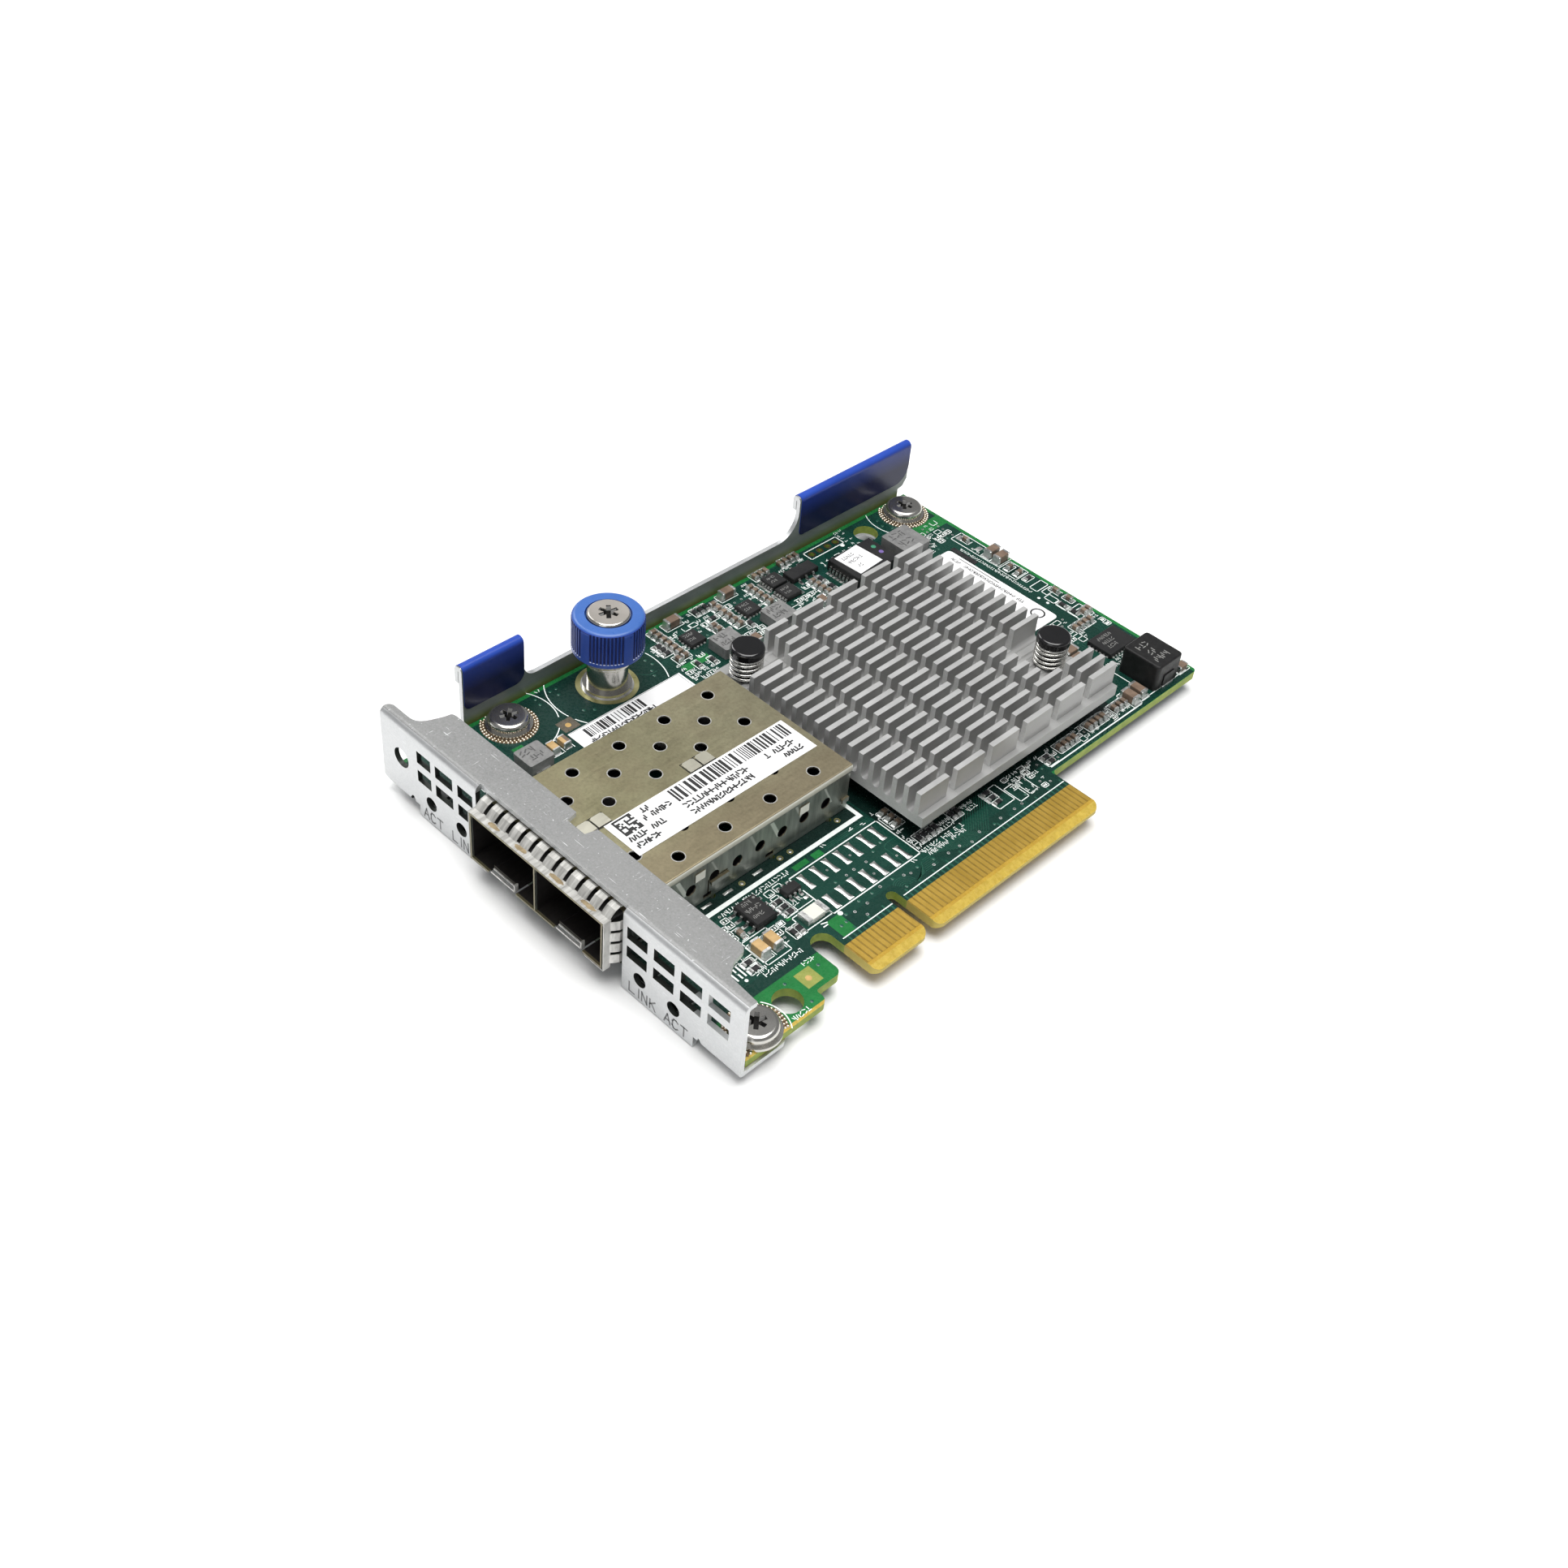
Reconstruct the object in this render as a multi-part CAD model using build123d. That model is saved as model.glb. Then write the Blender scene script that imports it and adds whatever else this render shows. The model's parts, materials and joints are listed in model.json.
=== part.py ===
from build123d import *
import os
import math

# ---------------------------------------------------------------------------
# Two-port server network adapter card, millimetres.
# Working axes: X runs along the faceplate (left to right seen from the front),
# Y runs from the faceplate to the rear of the board, Z is up and the top face
# of the board is at Z = 0.  Every part is moved by SHIFT when it is written,
# so that the written parts have the table at Z = 0 and their origin at the
# middle of the footprint.
# ---------------------------------------------------------------------------

# board
BT = 1.57                      # board thickness
BX0, BX1, BX2, BX3 = -53.3, 22.33, 20.05, 13.42   # left edge, right edges (front, step, rear)
BY0, BY1 = -25.3, 89.88        # front and rear edges
TONGUE_X = 23.2                # free edge of the connector tongue
TONGUE_Y0, KEY_Y0, KEY_Y1, TONGUE_Y1 = -0.65, 10.6, 12.5, 50.55
KEY_X, RELIEF_X = 14.0, 12.8   # inner ends of the key slot and of the relief slot
PITCH = 1.0                    # contact pitch
FINGER_W = 0.7
FINGER_X0, FINGER_X1 = 17.0, 21.3
HOLE_R = 2.25                  # alignment holes
HOLES = [(18.8, -13.85), (-49.16, 75.1)]
SCREWS = [(-49.5, -6.4), (-49.1, 85.2), (19.5, -20.7)]
KNOB = (-47.1, 11.67)          # axis of the captive thumbscrew
PINS = [(-30.4, 25.9), (-0.8, 66.05)]   # heat sink push pins
HEADER = [(-50.8, 62.8), (-50.8, 64.8), (-50.8, 66.8), (-50.8, 68.8)]

# bracket
ST = 0.8                       # sheet thickness
FY = -26.66                    # front face of the faceplate
FX0, FX1 = -54.0, 22.7         # ends of the faceplate
FZT = 11.6                     # top of the upper flange
FZB = -3.8                     # lower edge of the middle of the faceplate
FLANGE_Y = -19.3               # rear edge of the upper flange
RX = -53.56                    # inner face of the side rail
RZ = 3.3                       # height of the rail between its two tabs
TAB_Z = 11.2                   # top of the folded tabs
TAB2_Z = 10.8                  # top of the rear tab
TAB1 = (-12.0, 0.0)            # front tab along Y
TAB2 = (61.5, 90.4)            # rear tab along Y
FILM_T = 0.12

# two-port cage
CX0, CX1 = -30.3, -2.1         # outer faces of the side walls
CY0, CY1 = -28.96, 19.79       # front and rear
CZ0, CZ1 = 0.12, 8.95          # underside and top
CT = 0.25                      # cage sheet
CM = 0.5 * (CX0 + CX1)         # middle wall
WIN_R = 0.98                   # round windows in its walls

# heat sink
HX0, HX1, HY0, HY1 = -34.0, 10.3, 22.5, 70.0
HZ0, HZB, HZ1 = 3.25, 5.15, 9.15
FIN_T, FIN_P, FIN_N = 0.9, 2.31, 19
FIN_X = 8.8                    # middle of the right-hand fin
SEG_P, SEG_L, SEG_Y = 8.22, 6.35, 22.55

# thumbscrew
KNOB_R, KNOB_Z0, KNOB_Z1 = 5.83, 6.75, 14.15
FER_R = 3.3
SKIRT_R, SKIRT_Z0, SKIRT_Z1 = 3.95, 5.4, 8.3

TABLE = 3.8                    # the board's top face is this far above the table
SHIFT = (16.065, -30.72, TABLE)


def bx(x0, x1, y0, y1, z0, z1):
    return Pos((x0 + x1) / 2, (y0 + y1) / 2, (z0 + z1) / 2) * Box(abs(x1 - x0), abs(y1 - y0), abs(z1 - z0))


def cyl(x, y, r, z0, z1):
    return Pos(x, y, (z0 + z1) / 2) * Cylinder(r, z1 - z0)


def prism(pts, z0, z1):
    return Pos(0, 0, z0) * extrude(make_face(Polyline(*[(p[0], p[1], 0) for p in pts], close=True)), z1 - z0)


def fil(s, edges, r):
    if not edges:
        raise ValueError("no edges to round")
    return fillet(edges, r)


def edges_at(s, axis, **near):
    """Edges parallel to axis whose middle lies near the given coordinates."""
    out = []
    for e in s.edges().filter_by(axis):
        c = e.center()
        ok = True
        for k, v in near.items():
            if abs(getattr(c, k.upper()) - v) > 0.02:
                ok = False
        if ok:
            out.append(e)
    return out


PARTS = {}


def keep(name, shape):
    PARTS[name] = shape


def group(shapes):
    return Compound(children=list(shapes))


# ---------------------------------------------------------------------------
# bracket: one folded sheet, faceplate + upper flange + lower tabs + side rail
# ---------------------------------------------------------------------------
def corner(y1, top, r):
    """What is taken off the upper rear corner of a tab that ends at y1."""
    k = 0.293 * r
    c = prism([(y1 - r - 0.2, top + 1), (y1 - r, top), (y1 - k, top - k), (y1, top - r), (y1 + 0.3, top - r - 0.1),
               (y1 + 1, top + 1)], -60, 60)
    # the prism stands in XY; turn it so that its outline lies in YZ
    return Rot(90, 0, 90) * c


def make_bracket():
    # faceplate with the upper flange, section in YZ run along X
    body = bx(FX0, FX1, FY, FLANGE_Y, FZT - ST, FZT) + bx(FX0, FX1, FY, FY + ST, -2.37, FZT)
    body = fil(body, edges_at(body, Axis.X, y=FY, z=FZT), 1.2)
    body = fil(body, edges_at(body, Axis.X, y=FY + ST, z=FZT - ST), 0.4)
    # plan outline of the upper flange
    with BuildSketch() as sk:
        with BuildLine() as ln:
            Polyline((FX0, FY - 1), (FX0, -25.9))
            ThreePointArc((FX0, -25.9), (-53.6, -25.0), (-52.8, -24.7))
            Line((-52.8, -24.7), (-49.6, -24.7))
            Spline((-49.6, -24.7), (-47.6, -23.8), (-46.75, -22.0), (-46.2, -20.2), (-44.6, FLANGE_Y),
                   tangents=((1, 0), (1, 0)))
            Polyline((-44.6, FLANGE_Y), (-18.6, FLANGE_Y), (-18.1, -21.3), (-14.5, -21.3), (-14.0, FLANGE_Y),
                     (14.3, FLANGE_Y))
            Spline((14.3, FLANGE_Y), (15.5, -20.4), (15.9, -22.1), (16.8, -23.5), (18.6, -24.3),
                   tangents=((1, 0), (1, -0.1)))
            Polyline((18.6, -24.3), (FX1, -24.6), (FX1, FY - 1), (FX0, FY - 1))
        make_face()
    body = body & extrude(sk.sketch, 30, both=True)
    # lower tabs
    left = bx(-52.3, -47.6, FY, -12.6, -2.37, -2.37 + ST)
    right = bx(16.2, FX1, FY, -17.6, -2.37, -2.37 + ST)
    right = fil(right, edges_at(right, Axis.Z, y=-17.6), 1.0)
    body = body + left + right
    body = fil(body, edges_at(body, Axis.X, y=FY, z=-2.37), 0.75)
    # middle of the faceplate hangs lower than the ends
    body = body + prism([(-45.4, FY), (13.8, FY), (13.8, FY + ST), (-45.4, FY + ST)], FZB, -1.55)
    # clear the corners beside the tabs: left chamfer and two relief notches
    def cut_xz(pts):
        w = extrude(make_face(Polyline(*[(p[0], 0, p[1]) for p in pts], close=True)), 6, both=True)
        return Pos(0, FY, 0) * w
    body = body - cut_xz([(FX0 - 1, -1.2), (FX0, -1.4), (-52.3, -2.37), (-52.3, -3), (FX0 - 1, -3)])
    body = body - cut_xz([(-47.6, -4), (-47.6, -1.7), (-47.2, -1.05), (-46.8, -1.0), (-46.5, -1.4), (-46.3, -2.6),
                          (-45.4, -3.7), (-45.3, -4)])
    body = body - cut_xz([(13.7, -4), (13.9, -3.6), (14.4, -3.0), (14.6, -1.6), (14.9, -1.15), (15.2, -1.6),
                          (15.6, -2.2), (16.2, -2.2), (16.2, -4)])
    # opening for the cage, up to the bend
    body = body - bx(-31.7, -0.45, FY - 1, FY + 0.96, FZB - 1, FZT + 1)
    body = body - bx(-31.7, -0.45, FY - 1, FY + ST + 0.2, FZB - 1, 10.7)
    # vents
    vents = []
    for x0, x1 in [(-45.4, -42.2), (-41.1, -37.1), (0.4, 4.4), (5.65, 9.65), (10.9, 14.9), (16.15, 20.15)]:
        vents.append(bx(x0, x1, FY - 1, FY + 2, 6.7, 8.95))
        vents.append(bx(x0, x1, FY - 1, FY + 2, 3.1, 5.25))
    vents.append(bx(-35.9, -32.5, FY - 1, FY + 2, 6.7, 8.95))
    vents.append(bx(-35.9, -33.4, FY - 1, FY + 2, 3.1, 5.25))
    for v in vents:
        body = body - v
    # lamp holes and the fixing hole
    for x in (-42.45, -35.4, 3.1, 9.8):
        body = body - Pos(x, FY, 0.35) * Rot(90, 0, 0) * Cylinder(1.2, 6)
    body = body - Pos(-49.25, FY, 4.95) * Rot(90, 0, 0) * Cylinder(1.7, 6)
    # side rail wall, outline in YZ
    with BuildSketch(Plane.YZ) as rk:
        with BuildLine() as rl:
            Polyline((TAB1[0], -2.37), (TAB1[0], TAB_Z), (TAB1[1] - 0.9, TAB_Z))
            ThreePointArc((TAB1[1] - 0.9, TAB_Z), (TAB1[1] - 0.26, TAB_Z - 0.26), (TAB1[1], TAB_Z - 0.9))
            Line((TAB1[1], TAB_Z - 0.9), (TAB1[1], RZ + 2.4))
            ThreePointArc((TAB1[1], RZ + 2.4), (TAB1[1] + 0.7, RZ + 0.7), (TAB1[1] + 2.4, RZ))
            Line((TAB1[1] + 2.4, RZ), (TAB2[0] - 4.6, RZ))
            ThreePointArc((TAB2[0] - 4.6, RZ), (TAB2[0] - 1.35, RZ + 1.35), (TAB2[0], RZ + 4.6))
            Polyline((TAB2[0], RZ + 4.6), (TAB2[0], TAB2_Z), (TAB2[1] - 1.4, TAB2_Z))
            ThreePointArc((TAB2[1] - 1.4, TAB2_Z), (TAB2[1] - 0.42, TAB2_Z - 0.42), (TAB2[1], TAB2_Z - 1.4))
            Polyline((TAB2[1], TAB2_Z - 1.4), (TAB2[1], 3.2), (TAB2[1] - 0.9, 1.9), (88.3, 1.6), (88.3, -2.37),
                     (TAB1[0], -2.37))
        make_face()
    wall = extrude(rk.sketch, -ST)                     # towards -X
    wall = Pos(RX, 0, 0) * wall
    if wall.bounding_box().max.X > RX + 0.01:
        wall = Pos(-ST, 0, 0) * wall
    flange = bx(RX - ST, -45.6, -12.6, 88.3, -2.37, -2.37 + ST)
    flange = fil(flange, edges_at(flange, Axis.Z, x=-45.6), 1.2)
    rail = wall + flange
    rail = fil(rail, edges_at(rail, Axis.Y, x=RX - ST, z=-2.37), 0.7)
    # folded-over tops of the two tabs
    for (y0, y1), tz in ((TAB1, TAB_Z), (TAB2, TAB2_Z)):
        hem = bx(RX - 2 * ST - 0.1, RX, y0, y1, 8.0, tz)
        hem = fil(hem, edges_at(hem, Axis.Y, z=tz), 0.8)
        hem = hem - bx(RX - ST - 0.1, RX - ST, y0 - 1, y1 + 1, 7.0, tz - 0.85)
        hem = hem - bx(RX - ST, RX + 0.01, y0 - 1, y1 + 1, 7.0, tz - 0.85)
        cut = corner(y1, tz, 0.9 if y0 == TAB1[0] else 1.4)
        hem = hem - cut
        # trim the wall to the rounded top
        trim = bx(RX - ST - 1, RX + 1, y0 - 1, y1 + 1, tz - 0.85, tz + 1)
        rail = (rail - trim) + hem
    body = body + rail
    # screw holes through the lower flange and tabs
    for x, y in SCREWS:
        body = body - cyl(x, y, 1.6, -4, 0)
    # room for the thumbscrew and the alignment hole
    body = body - cyl(KNOB[0], KNOB[1], 3.0, -4, 0)
    body = body - cyl(HOLES[1][0], HOLES[1][1], 2.6, -4, 0)
    return body


bracket = make_bracket()
keep("bracket", bracket)


# coloured grip films on the two tabs
def make_film(y0, y1, top, r0, r1, rc):
    a = bx(RX - 2 * ST - 0.1 - FILM_T, RX + FILM_T, y0, y1, 8.25, top + FILM_T)
    a = fil(a, edges_at(a, Axis.Y, z=top + FILM_T), 0.8 + FILM_T)
    b = bx(RX - 2 * ST - 0.1, RX, y0 - 1, y1 + 1, 6.0, top)
    b = fil(b, edges_at(b, Axis.Y, z=top), 0.8)
    a = a - b - corner(y1, top + FILM_T, rc)
    c = bx(RX, RX + FILM_T, y0, y1, 2.95, 8.25)
    c = fil(c, edges_at(c, Axis.X, y=y0, z=2.95), r0)
    c = fil(c, edges_at(c, Axis.X, y=y1, z=2.95), r1)
    return a + c


keep("grip_film_front", make_film(TAB1[0] + 0.25, TAB1[1], TAB_Z, 1.2, 1.9, 0.9))
keep("grip_film_rear", make_film(TAB2[0] + 0.4, TAB2[1], TAB2_Z, 0.8, 3.2, 1.4))


# ---------------------------------------------------------------------------
# circuit board
# ---------------------------------------------------------------------------
def make_board():
    with BuildSketch() as sk:
        with BuildLine() as ln:
            Polyline((BX0, BY0), (BX1, BY0), (BX1, -10.6))
            ThreePointArc((BX1, -10.6), (BX1 - 0.3, -9.95), (BX1 - 1.0, -9.6))
            Line((BX1 - 1.0, -9.6), (BX2 + 0.5, -9.6))
            ThreePointArc((BX2 + 0.5, -9.6), (BX2 + 0.12, -9.45), (BX2, -9.1))
            Line((BX2, -9.1), (BX2, -5.5))
            ThreePointArc((BX2, -5.5), (BX2 - 0.32, -4.75), (BX2 - 1.1, -4.4))
            Line((BX2 - 1.1, -4.4), (RELIEF_X + 1.85, -4.4))
            ThreePointArc((RELIEF_X + 1.85, -4.4), (RELIEF_X, -2.52), (RELIEF_X + 1.85, TONGUE_Y0))
            Polyline((RELIEF_X + 1.85, TONGUE_Y0), (TONGUE_X - 1.3, TONGUE_Y0))
            ThreePointArc((TONGUE_X - 1.3, TONGUE_Y0), (TONGUE_X - 0.38, TONGUE_Y0 + 0.38), (TONGUE_X, TONGUE_Y0 + 1.3))
            Line((TONGUE_X, TONGUE_Y0 + 1.3), (TONGUE_X, KEY_Y0 - 1.6))
            ThreePointArc((TONGUE_X, KEY_Y0 - 1.6), (TONGUE_X - 0.47, KEY_Y0 - 0.47), (TONGUE_X - 1.6, KEY_Y0))
            Line((TONGUE_X - 1.6, KEY_Y0), (KEY_X + 0.95, KEY_Y0))
            ThreePointArc((KEY_X + 0.95, KEY_Y0), (KEY_X, 0.5 * (KEY_Y0 + KEY_Y1)), (KEY_X + 0.95, KEY_Y1))
            Line((KEY_X + 0.95, KEY_Y1), (TONGUE_X - 1.3, KEY_Y1))
            ThreePointArc((TONGUE_X - 1.3, KEY_Y1), (TONGUE_X - 0.38, KEY_Y1 + 0.38), (TONGUE_X, KEY_Y1 + 1.3))
            Line((TONGUE_X, KEY_Y1 + 1.3), (TONGUE_X, TONGUE_Y1 - 1.6))
            ThreePointArc((TONGUE_X, TONGUE_Y1 - 1.6), (TONGUE_X - 0.47, TONGUE_Y1 - 0.47), (TONGUE_X - 1.6, TONGUE_Y1))
            Line((TONGUE_X - 1.6, TONGUE_Y1), (BX3 + 1.0, TONGUE_Y1))
            ThreePointArc((BX3 + 1.0, TONGUE_Y1), (BX3 + 0.3, TONGUE_Y1 + 0.3), (BX3, TONGUE_Y1 + 1.0))
            Line((BX3, TONGUE_Y1 + 1.0), (BX3, BY1 - 0.8))
            ThreePointArc((BX3, BY1 - 0.8), (BX3 - 0.24, BY1 - 0.24), (BX3 - 0.8, BY1))
            Polyline((BX3 - 0.8, BY1), (BX0, BY1), (BX0, BY0))
        make_face()
    b = Pos(0, 0, -BT) * extrude(sk.sketch, BT)
    # bevels on the free edge of the tongue, top and bottom
    for s in (1, -1):
        z = 0 if s == 1 else -BT
        w = extrude(make_face(Polyline((TONGUE_X - 1.3, 0, z), (TONGUE_X + 0.1, 0, z - s * 0.49), (TONGUE_X + 0.1, 0, z + s),
                                       (TONGUE_X - 1.3, 0, z + s), close=True)), 60, both=True)
        b = b - w
    for x, y in HOLES:
        b = b - cyl(x, y, HOLE_R, -3, 1)
    for x, y in SCREWS:
        b = b - cyl(x, y, 1.75, -3, 1)
    b = b - cyl(KNOB[0], KNOB[1], 2.9, -3, 1)
    for x, y in PINS:
        b = b - cyl(x, y, 1.8, -3, 1)
    for x, y in HEADER:
        b = b - cyl(x, y, 0.45, -3, 1)
    for x, y in CAGE_PINS:
        b = b - cyl(x, y, 0.55, -3, 1)
    return b


CAGE_PINS = [(x, y) for x in (CX0 + CT / 2, CX1 - CT / 2) for y in (-20.0, -8.0, 4.0, 16.0)]
keep("circuit_board", make_board())

# gold plated contacts on both faces of the tongue
cont = []
for i in range(49):
    y = (i if i < 11 else i + 2) * PITCH
    for z0, z1 in ((0.0, 0.05), (-BT - 0.05, -BT)):
        cont.append(bx(FINGER_X0, FINGER_X1, y - FINGER_W / 2, y + FINGER_W / 2, z0, z1))
keep("edge_contacts", group(cont))


# ---------------------------------------------------------------------------
# two-port cage
# ---------------------------------------------------------------------------
def make_cage_shell():
    s = bx(CX0, CX1, CY0, CY1, CZ0, CZ1 - CT - 0.02)
    s = s - bx(CX0 + CT, CX1 - CT, CY0 - 1, CY1 - CT, CZ0 + CT, CZ1 + 1)
    # floor is open behind the latches, where the port connectors stand
    for xc in PORT_X:
        s = s - bx(xc - 6.4, xc + 6.4, 0.0, 18.6, -1, CZ0 + CT + 0.01)
        s = s - bx(xc - 2.95, xc + 2.95, CY0 - 1, -17.0, -1, CZ0 + CT + 0.01)
    # round windows in the side walls
    for y in SIDE_Y:
        s = s - Pos(0, y, 4.1) * Rot(0, 90, 0) * Cylinder(WIN_R, 80)
    # small rectangular slots along the foot of the walls
    for y in (-22.4, -9.9, 2.6):
        s = s - bx(CX0 - 1, CX1 + 1, y, y + 1.6, CZ0 + CT + 0.3, CZ0 + CT + 1.0)
    # square catches of the cover and lanced hooks, alike on both walls
    for side, xw in ((1, CX1), (-1, CX0)):
        for y in (-10.85, 10.05):
            s = s + bx(xw - 0.05 * side, xw + 0.14 * side, y - 0.95, y + 0.95, 5.2, 6.75)
        for y, z in ((-7.0, 3.25), (19.05, 2.55)):
            w = 1.75 if y < 0 else 0.7
            s = s + bx(xw - 0.05 * side, xw + 0.4 * side, y - w, y + w, z, z + 0.25)
            s = s + bx(xw + 0.2 * side, xw + 0.4 * side, y - w, y + w, z - 0.55, z + 0.2)
        s = s - bx(xw - 1, xw + 1, -9.1, -8.85, CZ0 + CT + 0.2, 3.9)
        s = s - bx(xw - 0.6, xw + 0.02 * side, -8.7, -5.2, 3.6, 3.85)
    # press-fit pins
    for x, y in CAGE_PINS:
        s = s + bx(x - CT / 2, x + CT / 2, y - 0.3, y + 0.3, -2.3, CZ0 + 0.5)
    return s


PORT_X = [CM - 7.12, CM + 7.12]
SIDE_Y = [14.85, 10.3, 5.75, 1.2, -3.35, -7.9, -12.45]
keep("cage_shell", make_cage_shell())


def make_cover():
    c = bx(CX0 - 0.17, CX1 + 0.17, CY0, CY1 + 0.17, CZ1 - 1.1, CZ1)
    c = fil(c, edges_at(c, Axis.Y, z=CZ1), 0.3)
    c = c - bx(CX0 - 0.02, CX1 + 0.02, CY0 - 1, CY1 + 0.02, CZ1 - 2, CZ1 - CT)
    c = c - bx(CX0 - 1, CX1 + 1, CY0 - 1, CY0 + 3.1, CZ1 - 2, CZ1 - CT)
    for x, y in TOP_HOLES:
        c = c - cyl(x, y, 0.95, CZ1 - 1, CZ1 + 1)
    for y in DIV_TABS:
        c = c - bx(CM - 0.35, CM + 0.3, y - 2.55, y + 2.55, CZ1 - 1, CZ1 + 1)
    return c


TOP_HOLES = []
for xs, ys in (((-27.3, -19.3, -12.9, -4.8), (14.4, 5.4, -3.6, -12.6)), ((-23.3, -8.85), (9.9, 0.9, -8.1, -17.1))):
    for x in xs:
        for y in ys:
            TOP_HOLES.append((x, y))
DIV_TABS = [2.8, -17.4]
keep("cage_top_cover", make_cover())

div = bx(CM - CT / 2, CM + CT / 2, CY0, CY1 - CT - 0.05, CZ0 + CT, CZ1 - CT - 0.02)
for y in SIDE_Y:
    div = div - Pos(CM, y, 4.1) * Rot(0, 90, 0) * Cylinder(WIN_R, 4)
for y in DIV_TABS:
    for y0, y1 in ((y - 2.45, y - 0.15), (y + 0.15, y + 2.45)):
        div = div + bx(CM - CT / 2, CM + CT / 2, y0, y1, CZ1 - CT - 0.03, CZ1 + 0.22)
        tab = bx(CM - 2.1, CM + CT / 2, y0, y1, CZ1 + 0.02, CZ1 + 0.22)
        div = div + fil(tab, edges_at(tab, Axis.Z, x=CM - 2.1), 0.5)
keep("cage_divider", div)

# latch plates in the floor of each port, sprung lip at the front
lat = []
for xc in PORT_X:
    p = bx(xc - 2.7, xc + 2.7, CY0 + 0.8, -14.0, CZ0 + CT + 0.05, CZ0 + CT + 0.25)
    p = p + bx(xc - 2.7, xc + 2.7, CY0 + 0.8, CY0 + 1.0, CZ0 + CT + 0.05, CZ0 + CT + 0.9)
    p = p - bx(xc - 0.9, xc + 0.9, -22.5, -20.3, 0, 1.2)
    lat.append(p)
keep("port_latches", group(lat))

# black plastic port connectors inside the cage
for k, xc in enumerate(PORT_X):
    c = bx(xc - 6.1, xc + 6.1, 8.5, 17.6, 0.02, 6.2)
    c = c + bx(xc - 5.9, xc + 5.9, 3.6, 8.5, 1.9, 5.4)
    c = c - bx(xc - 5.2, xc + 5.2, 2.6, 9.9, 3.15, 4.25)
    keep("port_connector_%s" % ("left", "right")[k], c)


# spring-finger gasket round the mouth of the cage
def make_gasket():
    t = 0.12
    gz = CZ1 + 0.02
    x0, x1 = CX0 - 0.2, CX1 + 0.2
    y0, y1 = CY0 + 0.05, CY0 + 1.35
    g = bx(x0 - t, x1 + t, y0, y1, -0.25, gz + t) - bx(x0, x1, y0 - 1, y1 + 1, -0.1, gz)
    g = g - bx(PORT_X[0] - 3.4, PORT_X[1] + 3.4, y0 - 1, y1 + 1, -1, 0)
    # finger section in YZ, arched up towards the bend of the faceplate
    top = [(y1 - 0.15, gz), (y1 + 0.35, gz + 0.55), (y1 + 0.95, gz + 1.05), (y1 + 1.7, gz + 1.3), (y1 + 2.5, gz + 1.2),
           (y1 + 3.2, gz + 0.75)]
    def strip(pts, w0, w1, plane):
        up = []
        n = len(pts)
        for i, (a, b) in enumerate(pts):
            p = pts[max(i - 1, 0)]
            q = pts[min(i + 1, n - 1)]
            dx, dy = q[0] - p[0], q[1] - p[1]
            l = math.hypot(dx, dy)
            up.append((a - dy / l * t, b + dx / l * t))
        ring = pts + up[::-1]
        if plane == "top":
            f = make_face(Polyline(*[(w0, a, b) for a, b in ring], close=True))
            return extrude(f, w1 - w0, dir=(1, 0, 0))
        f = make_face(Polyline(*[(b, a, w0) for a, b in ring], close=True))
        return extrude(f, w1 - w0, dir=(0, 0, 1))
    fw, n = 1.75, 12
    p = (x1 - x0 - fw) / (n - 1)
    for i in range(n):
        a = x0 + i * p
        g = g + strip(top, a, a + fw, "top")
    side = [(y1 - 0.15, x1), (y1 + 0.4, x1 + 0.4), (y1 + 1.0, x1 + 0.75), (y1 + 1.8, x1 + 0.9), (y1 + 2.6, x1 + 0.8),
            (y1 + 3.2, x1 + 0.5)]
    for i in range(4):
        a = 0.6 + i * 2.15
        g = g + strip(side, a, a + 1.6, "side")
    # the left side mirrors the right side
    mir = None
    for i in range(4):
        a = 0.6 + i * 2.15
        q = strip(side, a, a + 1.6, "side")
        q = mirror(q, Plane.YZ)
        q = Pos(x0 + x1, 0, 0) * q
        g = g + q
    return g


keep("emi_gasket", make_gasket())


# ---------------------------------------------------------------------------
# heat sink, chip under it, push pins
# ---------------------------------------------------------------------------
def make_sink():
    h = bx(HX0, HX1, HY0, HY1, HZ0, HZ1)
    r = (FIN_P - FIN_T) / 2
    cuts = []
    # slots between the fins, with round bottoms
    for i in range(FIN_N - 1):
        x = FIN_X - FIN_P * (i + 0.5)
        cuts.append(bx(x - r, x + r, HY0 - 1, HY1 + 1, HZB - 0.3 + r, HZ1 + 1))
        cuts.append(Pos(x, (HY0 + HY1) / 2, HZB - 0.3 + r) * Rot(90, 0, 0) * Cylinder(r, HY1 - HY0 + 2))
    # ledges outside the last fins
    cuts.append(bx(FIN_X + FIN_T / 2, HX1 + 1, HY0 - 1, HY1 + 1, HZB, HZ1 + 1))
    cuts.append(bx(HX0 - 1, FIN_X - FIN_P * (FIN_N - 1) - FIN_T / 2, HY0 - 1, HY1 + 1, HZB, HZ1 + 1))
    # cross cuts
    for k in range(5):
        y0 = SEG_Y + SEG_P * k + SEG_L
        cuts.append(bx(HX0 - 1, HX1 + 1, y0, SEG_Y + SEG_P * (k + 1), HZB - 0.05, HZ1 + 1))
    # room for the two pins
    x0 = FIN_X - FIN_P * 15.5
    cuts.append(bx(HX0 - 1, x0 - 0.1, HY0 - 1, SEG_Y + SEG_P + 1.9, HZB, HZ1 + 1))
    cuts.append(bx(FIN_X - FIN_P * 6.5 + 0.1, FIN_X - FIN_P * 2.5 - 0.1, SEG_Y + SEG_P * 5 - 4.5, HY1 + 1, HZB, HZ1 + 1))
    h = h.cut(*cuts)
    for x, y in PINS:
        h = h - cyl(x, y, 1.85, 0, 12)
    return h


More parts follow.
